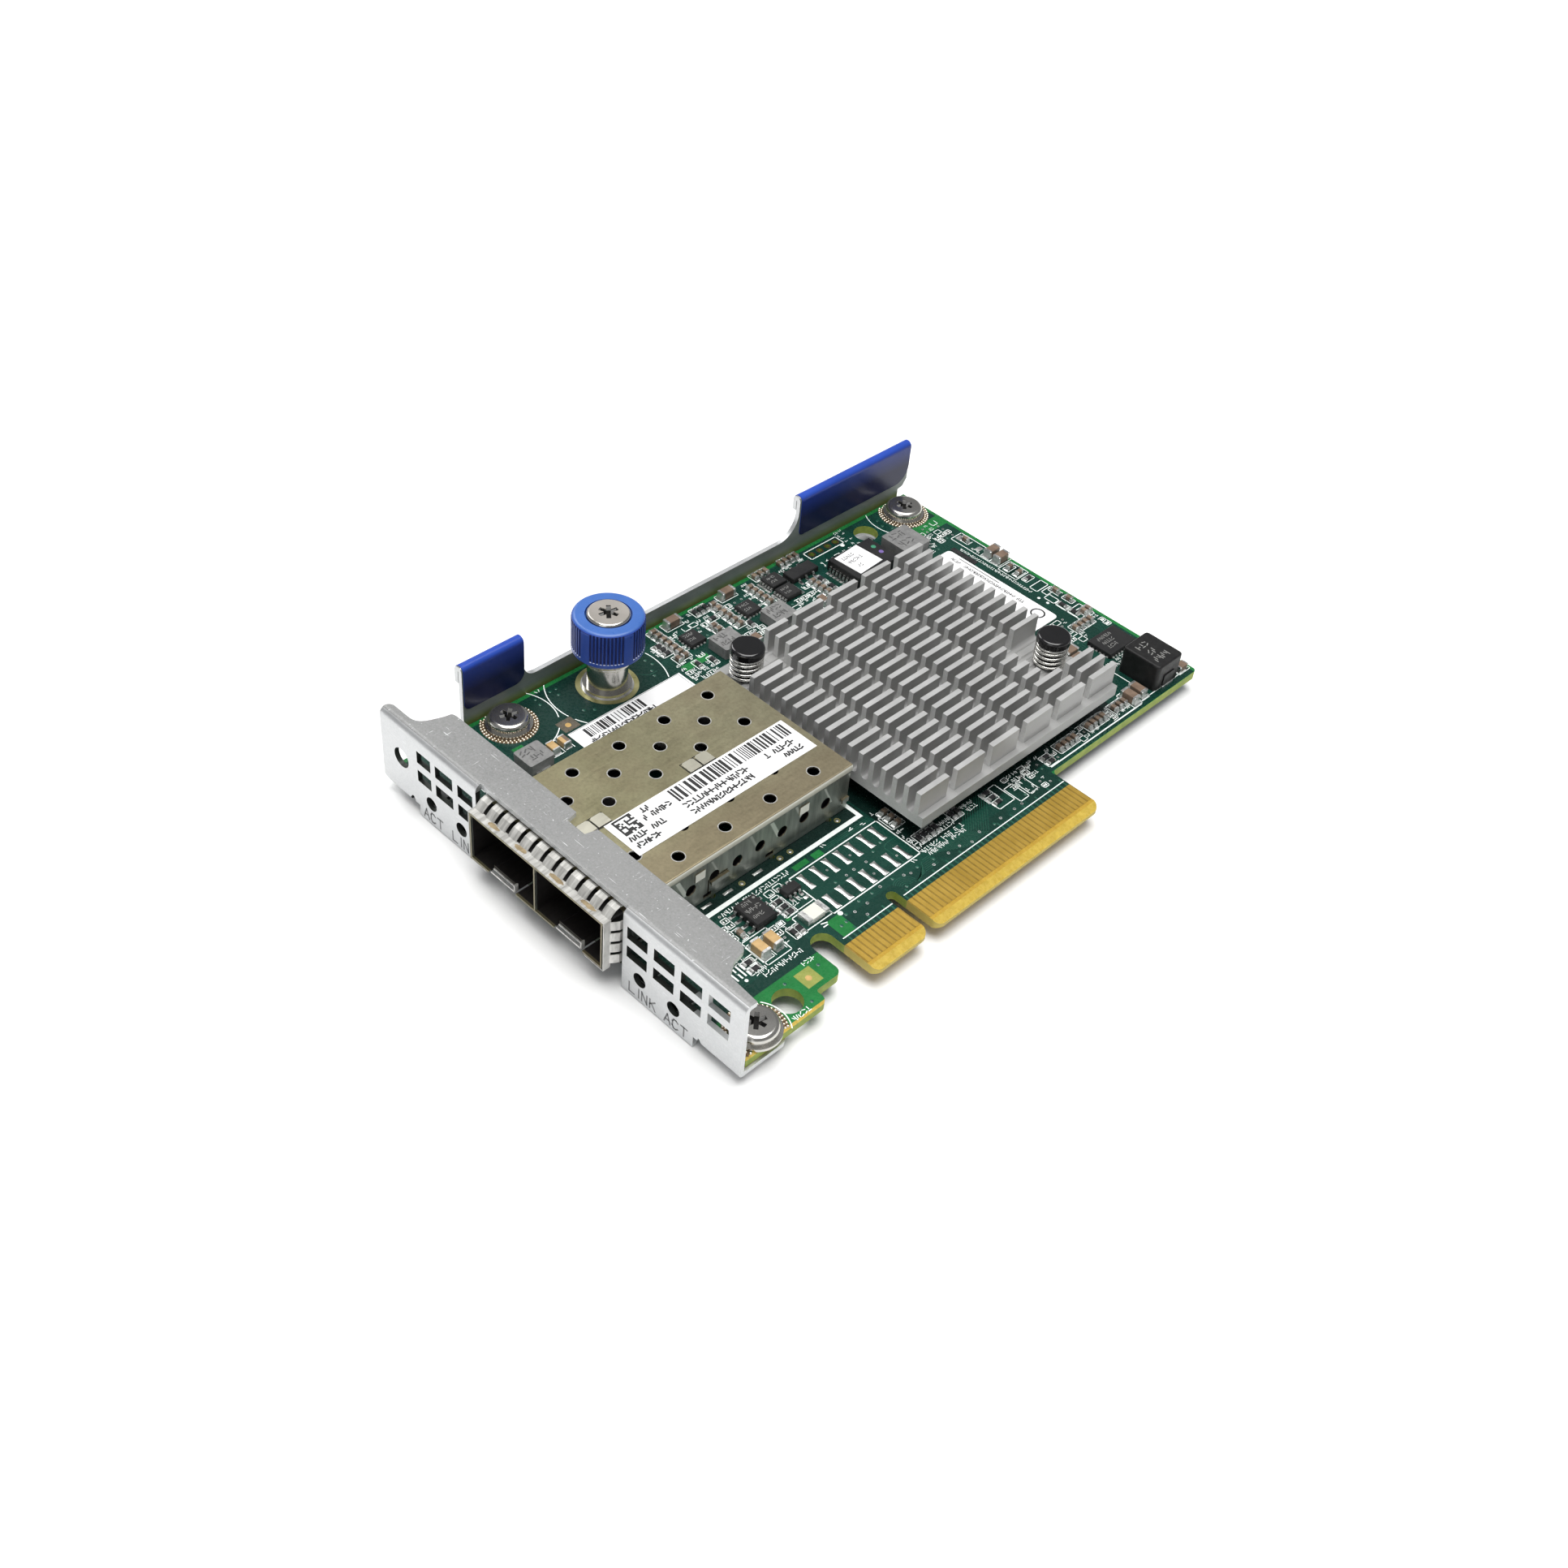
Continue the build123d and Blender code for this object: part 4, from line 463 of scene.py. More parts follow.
    # pieces that are only in the visual model
    M["bead"] = plain_metal("solder_beads", (0.78, 0.68, 0.52), (0.96, 0.92, 0.84), 0.2, 0.34, 1500, 0.3, 900, None, 0.00003)
    for key, c1, c2 in (("mark_grey", (0.16, 0.16, 0.155), (0.26, 0.26, 0.25)), ("mark_dark", (0.045, 0.045, 0.045), (0.085, 0.085, 0.083)),
                        ("dot_green", (0.03, 0.20, 0.11), (0.05, 0.28, 0.16)), ("dot_violet", (0.13, 0.08, 0.28), (0.19, 0.13, 0.38)),
                        ("stamp", (0.12, 0.12, 0.123), (0.20, 0.20, 0.205))):
        n = Nodes(key)
        col = n.mix(n.span(n.noise(1500, 4), 0.3, 0.7), c1, c2)
        M[key] = n.finish(col, n.span(n.noise(2500), 0.3, 0.7, 0.4, 0.6), 0.0, n.bump(n.noise(3500), 0.15, 0.00001))
    n = Nodes("silk_ink")
    col = n.mix(n.span(n.noise(1500, 4), 0.3, 0.7), (0.72, 0.77, 0.75), (0.86, 0.89, 0.87))
    M["silk"] = n.finish(col, n.span(n.noise(2500), 0.3, 0.7, 0.4, 0.6), 0.0, n.bump(n.noise(3500), 0.2, 0.00002))
    n = Nodes("label_ink")
    col = n.mix(n.span(n.noise(1500, 4), 0.3, 0.7), (0.004, 0.004, 0.0045), (0.014, 0.014, 0.015))
    M["ink"] = n.finish(col, n.span(n.noise(2500), 0.3, 0.7, 0.45, 0.6), 0.0, n.bump(n.noise(3500), 0.1, 0.00001))
    n = Nodes("mask_bare")
    col = n.mix(n.span(n.noise(500, 4), 0.3, 0.7), (0.012, 0.135, 0.038), (0.022, 0.20, 0.055))
    M["bare"] = n.finish(col, n.span(n.noise(1800), 0.3, 0.7, 0.22, 0.34), 0.0, n.bump(n.noise(2500), 0.2, 0.00002), coat=0.2, coat_rough=0.12)
    n = Nodes("mask_trace")
    col = n.mix(n.span(n.noise(500, 4), 0.3, 0.7), (0.008, 0.064, 0.042), (0.012, 0.088, 0.056))
    M["trace"] = n.finish(col, n.span(n.noise(1800), 0.3, 0.7, 0.22, 0.34), 0.0, n.bump(n.noise(2500), 0.2, 0.00002), coat=0.2, coat_rough=0.12)
    M["tin"] = plain_metal("tinned_pad", (0.66, 0.66, 0.65), (0.84, 0.84, 0.82), 0.22, 0.45, 1400, 0.6, 900, None, 0.00006)
    M["tan_pad"] = plain_metal("bare_copper", (0.50, 0.33, 0.12), (0.62, 0.42, 0.18), 0.4, 0.55, 1800, 0.3, 700)
    M["ring_brown"] = plain_metal("ring_brown", (0.09, 0.06, 0.035), (0.18, 0.125, 0.08), 0.4, 0.55, 1800, 0.3, 700)
    M["ring"] = plain_metal("gold_ring", (0.50, 0.47, 0.20), (0.66, 0.62, 0.32), 0.28, 0.4, 1800, 0.2, 400)
    n = Nodes("weld_stain")
    k = n.noise(900, 5, 0.7)
    col = n.mix(n.span(k, 0.3, 0.7), (0.16, 0.115, 0.060), (0.36, 0.29, 0.18))
    M["stain"] = n.finish(col, n.span(k, 0.3, 0.7, 0.35, 0.6), 0.7, n.bump(k, 0.3, 0.00003))
    n = Nodes("hole_dark")
    M["dark"] = n.finish(n.mix(n.noise(900), (0.006, 0.006, 0.006), (0.014, 0.013, 0.012)), n.span(n.noise(900), 0.3, 0.7, 0.6, 0.8), 0.0)


make_materials()

SLOT = {s["node"]: s["material_slot"] for s in frame["record"]["subparts"]}
for name, obj in frame["nodes"].items():
    obj.data.materials.clear()
    obj.data.materials.append(M[SLOT[name]])


# ------------------------------------------------------------------ mesh pieces
class Piece:
    """One mesh made of thin plates, rounded boxes and domes, in the card's working millimetres."""

    def __init__(self, name, material, slot, body="card", replaces=(), t=0.018):
        self.name, self.material, self.slot, self.body, self.replaces, self.t = name, material, slot, body, replaces, t
        self.v, self.f = [], []

    def add(self, pts, faces):
        k = len(self.v)
        self.v += [V(*p) for p in pts]
        self.f += [tuple(k + i for i in f) for f in faces]

    def plate(self, pts, z, t=None):
        """A thin flat shape with its top at z; pts run anticlockwise."""
        t = self.t if t is None else t
        n = len(pts)
        self.add([(x, y, z) for x, y in pts] + [(x, y, z - t) for x, y in pts],
                 [tuple(range(n))] + [(i, n + i, n + (i + 1) % n, (i + 1) % n) for i in range(n)])

    def quad(self, x0, x1, y0, y1, z, ang=0.0):
        cx, cy = (x0 + x1) / 2, (y0 + y1) / 2
        c, s = math.cos(ang), math.sin(ang)
        pts = []
        for a, b in ((x0, y0), (x1, y0), (x1, y1), (x0, y1)):
            dx, dy = a - cx, b - cy
            pts.append((cx + dx * c - dy * s, cy + dx * s + dy * c))
        self.plate(pts, z)

    def line(self, pts, w, z):
        for (ax, ay), (bx, by) in zip(pts, pts[1:]):
            l = math.hypot(bx - ax, by - ay)
            if l < 1e-6:
                continue
            ux, uy = (bx - ax) / l * w / 2, (by - ay) / l * w / 2
            ax2, ay2, bx2, by2 = ax - ux, ay - uy, bx + ux, by + uy
            self.plate([(ax2 + uy, ay2 - ux), (bx2 + uy, by2 - ux), (bx2 - uy, by2 + ux), (ax2 - uy, ay2 + ux)], z)

    def frame(self, x0, x1, y0, y1, w, z, skip=""):
        """An outline; skip names the sides left out: b, r, t, l."""
        for key, p in (("b", ((x0, y0), (x1, y0))), ("r", ((x1, y0), (x1, y1))), ("t", ((x1, y1), (x0, y1))), ("l", ((x0, y1), (x0, y0)))):
            if key not in skip:
                self.line(p, w, z)

    def arc(self, cx, cy, r, a0, a1, w, z, n=28, t=None):
        t = self.t if t is None else t
        full = abs(a1 - a0) >= 359.9
        m = n if full else n + 1
        pts = []
        for i in range(m):
            a = math.radians(a0 + (a1 - a0) * i / n)
            for rr, zz in ((r - w / 2, z), (r + w / 2, z), (r + w / 2, z - t), (r - w / 2, z - t)):
                pts.append((cx + rr * math.cos(a), cy + rr * math.sin(a), zz))
        fs = []
        for i in range(n):
            a, b = 4 * i, 4 * ((i + 1) % m)
            fs += [(a, a + 1, b + 1, b), (a + 1, a + 2, b + 2, b + 1), (a + 3, a, b, b + 3)]
        self.add(pts, fs)

    def ring(self, cx, cy, r0, r1, z, n=48, t=None):
        self.arc(cx, cy, (r0 + r1) / 2, 0, 360, r1 - r0, z, n, t)

    def disc(self, cx, cy, r, z, n=18, t=None):
        self.plate([(cx + r * math.cos(2 * math.pi * i / n), cy + r * math.sin(2 * math.pi * i / n)) for i in range(n)], z, t)

    def cbox(self, x0, x1, y0, y1, z0, z1, c):
        """A box with its upright corners and its top edges taken off."""
        def ring(i, z):
            a, b, p, q = x0 + i, x1 - i, y0 + i, y1 - i
            return [(a + c, p, z), (b - c, p, z), (b, p + c, z), (b, q - c, z), (b - c, q, z), (a + c, q, z), (a, q - c, z), (a, p + c, z)]
        pts = ring(0, z0) + ring(0, z1 - c) + ring(c * 0.8, z1)
        fs = [tuple(range(16, 24)), tuple(reversed(range(8)))]
        for k in (0, 8):
            for i in range(8):
                j = (i + 1) % 8
                fs.append((k + i, k + j, k + 8 + j, k + 8 + i))
        self.add(pts, fs)

    def dome(self, cx, cy, rx, ry, z, h, ang=0.0, n=8, rows=3):
        c, s = math.cos(ang), math.sin(ang)
        pts = []
        for k in range(rows):
            e = math.pi / 2 * k / rows
            for i in range(n):
                a = 2 * math.pi * i / n
                dx, dy = rx * math.cos(e) * math.cos(a), ry * math.cos(e) * math.sin(a)
                pts.append((cx + dx * c - dy * s, cy + dx * s + dy * c, z + h * math.sin(e)))
        pts.append((cx, cy, z + h))
        fs = []
        for k in range(rows - 1):
            for i in range(n):
                j = (i + 1) % n
                fs.append((k * n + i, k * n + j, (k + 1) * n + j, (k + 1) * n + i))
        for i in range(n):
            fs.append(((rows - 1) * n + i, (rows - 1) * n + (i + 1) % n, rows * n))
        self.add(pts, fs)

    def fillet(self, x, y, dx, dy, hw, h, l):
        """A solder fillet rising against an end face at (x, y) that looks along (dx, dy)."""
        prof = [(0.0, 0.0), (l, 0.0), (0.55 * l, 0.14 * h), (0.22 * l, 0.42 * h), (0.05 * l, 0.85 * h), (0.0, h)]
        n = len(prof)
        pts = []
        for s in (-1, 1):
            for i, (d, z) in enumerate(prof):
                k = hw * (1.0 if i not in (1,) else 0.92)
                pts.append((x + dx * d - dy * s * k, y + dy * d + dx * s * k, z))
        fs = [tuple(range(n)), tuple(reversed(range(n, 2 * n)))]
        for i in range(n):
            j = (i + 1) % n
            fs.append((i, n + i, n + j, j))
        self.add(pts, fs)

    def pillow(self, x0, x1, y0, y1, h, waist=0.0, nx=8, ny=5):
        """A low mound of solder on a pad, narrower at its middle by waist."""
        pts = []
        for i in range(nx + 1):
            u = i / nx
            k = 1.0 - waist * (1.0 - (2 * u - 1) ** 2)
            for j in range(ny + 1):
                v = 2 * j / ny - 1
                z = h * (1 - (2 * u - 1) ** 6) * (1 - v ** 2) + 0.012
                pts.append((x0 + (x1 - x0) * u, (y0 + y1) / 2 + (y1 - y0) / 2 * v * k, z))
        edge = [(i, 0) for i in range(nx)] + [(nx, j) for j in range(ny)] + [(nx - i, ny) for i in range(nx)] + [(0, ny - j) for j in range(ny)]
        top = [i * (ny + 1) + j for i, j in edge]
        low = len(pts)
        pts += [(pts[i][0], pts[i][1], 0.0) for i in top]
        fs = []
        for i in range(nx):
            for j in range(ny):
                a = i * (ny + 1) + j
                fs.append((a, a + ny + 1, a + ny + 2, a + 1))
        m = len(top)
        for i in range(m):
            j = (i + 1) % m
            fs.append((top[i], low + i, low + j, top[j]))
        self.add(pts, fs)

    def done(self, smooth=False):
        me = bpy.data.meshes.new(self.name)
        me.from_pydata(self.v, [], self.f)
        me.update()
        ob = bpy.data.objects.new(self.name, me)
        bpy.context.scene.collection.objects.link(ob)
        me.materials.append(M[self.material])
        for p in me.polygons:
            p.use_smooth = smooth
        if self.replaces:
            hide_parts(*self.replaces)
        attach(ob, self.body)
        return ob


def islands(node):
    """Boxes (x0, x1, y0, y1, z0, z1), in working millimetres, of the separate solids of a CAD node."""
    me = frame["nodes"][node].data
    seen, owner = {}, []
    for v in me.vertices:
        owner.append(seen.setdefault(tuple(round(c, 6) for c in v.co), len(seen)))
    up = list(range(len(seen)))

    def root(a):
        while up[a] != a:
            up[a] = up[up[a]]
            a = up[a]
        return a

    for p in me.polygons:
        for i in p.vertices[1:]:
            up[root(owner[i])] = root(owner[p.vertices[0]])
    boxes = {}
    for v, o in zip(me.vertices, owner):
        b = boxes.setdefault(root(o), [1e9, -1e9, 1e9, -1e9, 1e9, -1e9])
        for i in range(3):
            c = v.co[i] * 1000.0 - SHIFT[i]
            b[2 * i], b[2 * i + 1] = min(b[2 * i], c), max(b[2 * i + 1], c)
    return sorted(boxes.values())


# strokes of unreadable marks that stand for small print, in a cell 0.62 wide and 1 high
MARKS = (
    ((0, 0.1, 0, 0.95), (0.3, 0.5, 0.55, 0.5)),
    ((0.08, 0, 0.08, 0.55), (0.45, 0.4, 0.45, 1)),
    ((0, 1, 0.5, 0.8), (0.1, 0.1, 0.55, 0.3)),
    ((0, 0.2, 0.22, 0.9), (0.52, 0.1, 0.52, 0.7)),
    ((0.05, 0.55, 0.5, 0.95), (0, 0, 0.5, 0.15)),
    ((0.28, 0.45, 0.28, 1), (0, 0.1, 0.55, 0.1)),
    ((0, 0.15, 0, 0.5), (0.2, 0.9, 0.55, 0.9), (0.45, 0, 0.45, 0.55)),
    ((0.05, 0.85, 0.28, 0.4), (0.52, 0, 0.52, 1)),
)


def small_print(piece, x, y, run, up, n, h, z, w=None):
    """n unreadable marks of height h from (x, y), running along run and standing along up."""
    w = w or h * 0.17
    for k in range(n):
        if RNG.random() < 0.06:
            continue
        ox, oy = x + run[0] * h * 0.84 * k, y + run[1] * h * 0.84 * k
        for ax, ay, bx, by in RNG.choice(MARKS):
            piece.line([(ox + (run[0] * ax + up[0] * ay) * h, oy + (run[1] * ax + up[1] * ay) * h),
                        (ox + (run[0] * bx + up[0] * by) * h, oy + (run[1] * bx + up[1] * by) * h)], w, z)


def column(piece, x0, x1, y0, y1, z, w=None):
    """Small print between y0 and y1, read along +Y, its tops towards -X."""
    h = x1 - x0
    small_print(piece, x1, y0, (0, 1), (-1, 0), max(1, int((y1 - y0) / (h * 0.84))), h, z, w)


def row(piece, x0, x1, y0, y1, z, w=None):
    """Small print between x0 and x1, read along +X, its tops towards +Y."""
    h = y1 - y0
    small_print(piece, x0, y0, (1, 0), (0, 1), max(1, int((x1 - x0) / (h * 0.84))), h, z, w)


def bars(piece, x0, x1, y0, y1, z, fine=0.12):
    """Random bars across X, spread along Y."""
    y = y0
    while y < y1 - 0.3:
        w = RNG.choice((1, 1, 2, 3)) * fine
        piece.quad(x0, x1, y, y + w, z)
        y += w + RNG.choice((1, 1, 2, 3)) * fine


ZS = 0.018      # top of the printing on the board
silk = Piece("board_print", "silk", "board")
tin = Piece("solder_and_pads", "tin", "solder")
via = Piece("filled_vias", "trace", "board")
trace = Piece("copper_runs", "trace", "board", t=0.008)
TAKEN = []


def covered(x0, x1, y0, y1, m=0.05):
    return any(x0 < t[1] + m and x1 > t[0] - m and y0 < t[3] + m and y1 > t[2] - m for t in TAKEN)


for nm in ("memory_chip", "interface_chip", "driver_chips", "power_stage_chips", "voltage_regulator", "power_controller",
           "signal_transistor", "small_inductors", "rear_inductor", "large_inductor", "fuse", "status_lamps", "large_capacitors",
           "small_capacitors", "chip_resistors", "serial_label", "rear_label", "board_screws"):
    for b in islands(nm):
        TAKEN.append(tuple(b[:4]))
for x, y, r in ((18.8, -13.85, 2.4), (-49.16, 75.1, 2.5), (-47.1, 11.67, 5.0), (-30.4, 25.9, 2), (-0.8, 66.05, 2), (-49.5, -6.4, 4.7),
                (-49.1, 85.2, 4.7), (19.5, -20.7, 4.7)):
    TAKEN.append((x - r, x + r, y - r, y + r))
TAKEN.append((-31.0, -1.4, -29.0, 20.6))
TAKEN.append((-51.9, -49.7, 61.8, 69.9))


# ------------------------------------------------------------------ two-terminal parts
def two_terminal(node, name, body_mat, slot, share, c, gap):
    """Ceramic bodies with metal ends, their solder and the outline printed round them."""
    body = Piece(name, body_mat, slot, replaces=(node,))
    ends = Piece(name + "_ends", "tin", "solder")
    for x0, x1, y0, y1, z0, z1 in islands(node):
        along_x = (x1 - x0) > (y1 - y0)
        l = (x1 - x0) if along_x else (y1 - y0)
        e = l * share
        if along_x:
            body.cbox(x0 + 0.04, x1 - 0.04, y0 + gap, y1 - gap, 0.03, z1 - gap, c)
            ends.cbox(x0, x0 + e, y0, y1, 0.0, z1, c)
            ends.cbox(x1 - e, x1, y0, y1, 0.0, z1, c)
            hw = (y1 - y0) / 2
            for s, x in ((-1, x0), (1, x1)):
                ends.fillet(x, (y0 + y1) / 2, s, 0, hw * 0.95, z1 * 0.55, 0.28)
            silk_box = (x0 - 0.42, x1 + 0.42, y0 - 0.24, y1 + 0.24)
        else:
            body.cbox(x0 + gap, x1 - gap, y0 + 0.04, y1 - 0.04, 0.03, z1 - gap, c)
            ends.cbox(x0, x1, y0, y0 + e, 0.0, z1, c)
            ends.cbox(x0, x1, y1 - e, y1, 0.0, z1, c)
            hw = (x1 - x0) / 2
            for s, y in ((-1, y0), (1, y1)):
                ends.fillet((x0 + x1) / 2, y, 0, s, hw * 0.95, z1 * 0.55, 0.28)
            silk_box = (x0 - 0.24, x1 + 0.24, y0 - 0.42, y1 + 0.42)
        if silk_box[1] < 12.6 or silk_box[0] > 13:
            sk = "".join(k for k in "brtl" if RNG.random() < 0.12)
            silk.frame(silk_box[0], silk_box[1], silk_box[2], silk_box[3], 0.13, ZS, sk)
    body.done()
    ends.done()


two_terminal("small_capacitors", "small_ceramics", "ceramic_small", "ceramic_small", 0.24, 0.06, 0.015)
two_terminal("large_capacitors", "large_ceramics", "ceramic_cap", "ceramic_cap", 0.18, 0.09, 0.02)
two_terminal("chip_resistors", "resistor_bodies", "resistor", "resistor", 0.17, 0.04, 0.012)


# ------------------------------------------------------------------ leads
leads = Piece("package_leads", "tin", "solder")


def gull(x, y, dx, dy, hw, reach, h):
    """A bent lead that leaves a package at (x, y) towards (dx, dy), with its foot on the board."""
    prof = [(-0.05, h), (0.22, h), (0.34, 0.16), (reach, 0.16), (reach, 0.0), (0.18, 0.0), (0.06, h - 0.16), (-0.05, h - 0.16)]
    n = len(prof)
    pts = []
    for s in (-1, 1):
        for d, z in prof:
            pts.append((x + dx * d - dy * s * hw, y + dy * d + dx * s * hw, z))
    fs = [tuple(range(n)), tuple(reversed(range(n, 2 * n)))]
    for i in range(n):
        j = (i + 1) % n
        fs.append((i, n + i, n + j, j))
    leads.add(pts, fs)
    tin.quad(min(x + dx * 0.2 - abs(dy) * hw * 1.3, x + dx * (reach + 0.3) + abs(dy) * hw * 1.3), max(x + dx * 0.2 - abs(dy) * hw * 1.3, x + dx * (reach + 0.3) + abs(dy) * hw * 1.3),
             min(y + dy * 0.2 - abs(dx) * hw * 1.3, y + dy * (reach + 0.3) + abs(dx) * hw * 1.3), max(y + dy * 0.2 - abs(dx) * hw * 1.3, y + dy * (reach + 0.3) + abs(dx) * hw * 1.3), 0.02)


def soic_leads(xc, yc, w, l, h, n, pitch, lead, along):
    for i in range(n):
        o = (i - (n - 1) / 2) * pitch
        for s in (-1, 1):
            if along == "x":
                gull(xc + o, yc + s * l / 2, 0, s, 0.215, lead + 0.02, h * 0.5 + 0.03)
            else:
                gull(xc + s * w / 2, yc + o, s, 0, 0.215, lead + 0.02, h * 0.5 + 0.03)


soic_leads(-42.3, 66.9, 7.4, 10.4, 2.2, 8, 0.8, 0.75, "x")
soic_leads(4.6, -6.1, 4.9, 3.9, 1.3, 4, 1.27, 0.9, "x")
soic_leads(-49.1, 51.5, 3.2, 3.4, 0.95, 5, 0.65, 0.6, "x")
soic_leads(-45.4, 51.3, 3.2, 3.4, 0.95, 5, 0.65, 0.6, "x")
soic_leads(-48.0, 57.0, 2.6, 6.2, 1.1, 3, 1.7, 0.9, "y")
soic_leads(4.6, 1.0, 1.6, 2.9, 1.0, 3, 0.95, 0.6, "y")
# flat-bottomed packages show only small pads along their edges
for xc, yc in ((-46.4, 29.7), (-46.4, 42.6)):
    for i in range(4):
        o = (i - 1.5) * 0.75
        for s in (-1, 1):
            leads.cbox(xc + o - 0.2, xc + o + 0.2, min(yc + s * 1.6, yc + s * 1.95), max(yc + s * 1.6, yc + s * 1.95), 0, 0.28, 0.05)
            leads.cbox(min(xc + s * 1.6, xc + s * 1.95), max(xc + s * 1.6, xc + s * 1.95), yc + o - 0.2, yc + o + 0.2, 0, 0.28, 0.05)
for i in range(8):
    o = (i - 3.5) * 0.8
    for s in (-1, 1):
        leads.cbox(min(-0.4 + s * 2.45, -0.4 + s * 2.8), max(-0.4 + s * 2.45, -0.4 + s * 2.8), 84.1 + o - 0.2, 84.1 + o + 0.2, 0, 0.28, 0.05)
    if i < 6:
        o = (i - 2.5) * 0.75
        for s in (-1, 1):
            leads.cbox(-0.4 + o - 0.2, -0.4 + o + 0.2, min(84.1 + s * 3.45, 84.1 + s * 3.8), max(84.1 + s * 3.45, 84.1 + s * 3.8), 0, 0.28, 0.05)
# metal ends of the fuse, the lamps and the inductors
leads.cbox(8.83, 11.17, -1.93, -1.0, 0, 0.93, 0.06)
leads.cbox(8.83, 11.17, 1.4, 2.33, 0, 0.93, 0.06)
for x in (-42.45, -35.4, 3.1, 9.8):
    leads.cbox(x - 1.03, x - 0.6, -25.0, -23.57, 0, 0.5, 0.05)
    leads.cbox(x + 0.6, x + 1.03, -25.0, -23.57, 0, 0.5, 0.05)
for x0, x1, y0, y1 in ((-42.2, -37.9, -11.6, -6.9), (-43.6, -39.2, 30.5, 35.3), (-43.4, -39.0, 42.3, 47.1), (-44.4, -38.0, 73.6, 79.7)):
    ym = (y0 + y1) / 2
    leads.cbox(x0 - 0.45, x0 + 0.1, ym - 1.4, ym + 1.4, 0, 0.35, 0.06)
    leads.cbox(x1 - 0.1, x1 + 0.45, ym - 1.4, ym + 1.4, 0, 0.35, 0.06)
leads.cbox(11.95, 12.6, 81.15, 84.05, 0, 0.5, 0.08)
leads.done()


# ------------------------------------------------------------------ solder, rings, vias
beads = Piece("pad_beads", "bead", "solder")
beads_under = Piece("pad_rings", "ring_brown", "solder")
for x, y, arcs in ((-49.5, -6.4, ((-141, 141),)), (-49.1, 85.2, ((-150, 150),)), (19.5, -20.7, ((55, 249), (291, 304)))):
    for a0, a1 in arcs:
        beads_under.arc(x, y, 4.21, a0, a1, 0.9, 0.012, max(6, int((a1 - a0) / 5)), 0.012)
    for r, n, s in ((4.02, 40, 0.19), (4.45, 44, 0.215)):
        for i in range(n):
            a = 2 * math.pi * i / n
            px, py = x + r * math.cos(a), y + r * math.sin(a)
            if px > 22.2 or px < -53.1 or py < -25.1 or py > 89.7 or (py < -24.4 and px > 14):
                continue
            beads.dome(px, py, s * 1.1, s, 0.005, 0.2, a)
beads.done(True)
beads_under.done()

plated = Piece("plated_rings", "ring", "gold")
plated.ring(-47.1, 11.67, 4.3, 5.12, 0.06, 72, 0.06)
header = Piece("header_pads", "ring_brown", "gold")
for x, y in ((-50.8, 62.8), (-50.8, 64.8), (-50.8, 66.8), (-50.8, 68.8)):
    header.ring(x, y, 0.46, 0.72, 0.03, 24, 0.03)
header.done()
silk.frame(-51.9, -49.7, 61.7, 69.9, 0.18, ZS)
for x, y in ((-1.1, 16.9), (-1.1, 6.8), (-1.1, 4.7), (-1.1, -3.1), (-1.1, -13.2)):
    plated.ring(x, y, 0.3, 0.52, 0.03, 20, 0.03)
plated.done()
tin.ring(-47.1, 11.67, 4.0, 4.3, 0.03, 72, 0.03)
for x, y in ((-1.1, 16.9), (-1.1, 6.8), (-1.1, 4.7), (-1.1, -3.1), (-1.1, -13.2)):
    tin.dome(x, y, 0.28, 0.28, 0.0, 0.06)
for y in (0.2, -5.8, -10.0):
    tin.pillow(-1.45, -0.95, y - 0.9, y + 0.9, 0.12)

# two columns of unused pads
for y in (19.4, 16.9, 14.3, 11.8, 9.3, 6.8, 4.2):
    tin.pillow(3.15, 6.35, y - 0.55, y + 0.55, 0.10, 0.28)
    tin.pillow(8.35, 11.45, y - 0.55, y + 0.55, 0.10, 0.28)
for x0, x1, y0, y1 in ((-37.9, -36.6, 86.8, 88.3), (-33.4, -32.4, 86.8, 88.3), (-9.8, -8.9, 86.0, 88.0), (6.6, 7.2, 1.6, 2.4)):
    tin.pillow(x0, x1, y0, y1, 0.08)
for x, y, r in ((13.5, 7.8, 0.26), (13.5, 5.2, 0.26), (12.5, 11.6, 0.28), (7.7, 13.8, 0.24), (7.6, 11.3, 0.26), (7.7, 9.6, 0.24), (15.0, 6.2, 0.26),
                (14.7, 21.0, 0.26), (13.2, 16.0, 0.26), (14.9, 41.3, 0.26), (14.9, 39.5, 0.26), (14.8, 36.3, 0.26), (14.6, 31.5, 0.26), (15.3, 29.0, 0.26),
                (14.5, 24.5, 0.26), (14.6, 26.9, 0.24), (5.2, 13.0, 0.2), (5.1, 8.2, 0.2), (10.1, 12.9, 0.2), (9.8, 18.2, 0.2), (13.6, 17.1, 0.24)):
    tin.ring(x, y, r * 0.45, r, 0.016, 14)
for x, y in ((-51.4, 4.6), (-50, 4), (-51.4, 3.4), (-51.4, 0.4), (-50, 0.2), (-47.6, 20.3), (-46.2, 20.6), (-45.0, 19.4), (-43.8, 18.9), (-48.9, 20.1),
             (-43.6, 6.0), (-44.6, 4.6), (-52.0, 15.6), (-51.8, 78.9), (-50.5, 79.6), (-48.8, 79.2), (-47.2, 80.1), (6.3, 18.4), (6.9, 16.2), (7.6, 7.4),
             (12.6, 9.8), (12.4, 7.2), (13.0, 3.9), (14.1, 1.8), (14.0, 2.9), (13.4, 18.8), (15.0, 14.7), (12.6, 14.2), (17.0, -6.0), (16.4, -12.0),
             (21.0, -11.4), (15.0, 34.6), (13.9, 43.4), (12.9, 24.0), (13.8, 21.9)):
    via.dome(x, y, 0.28, 0.28, 0.0, 0.05, 0.0, 10, 2)


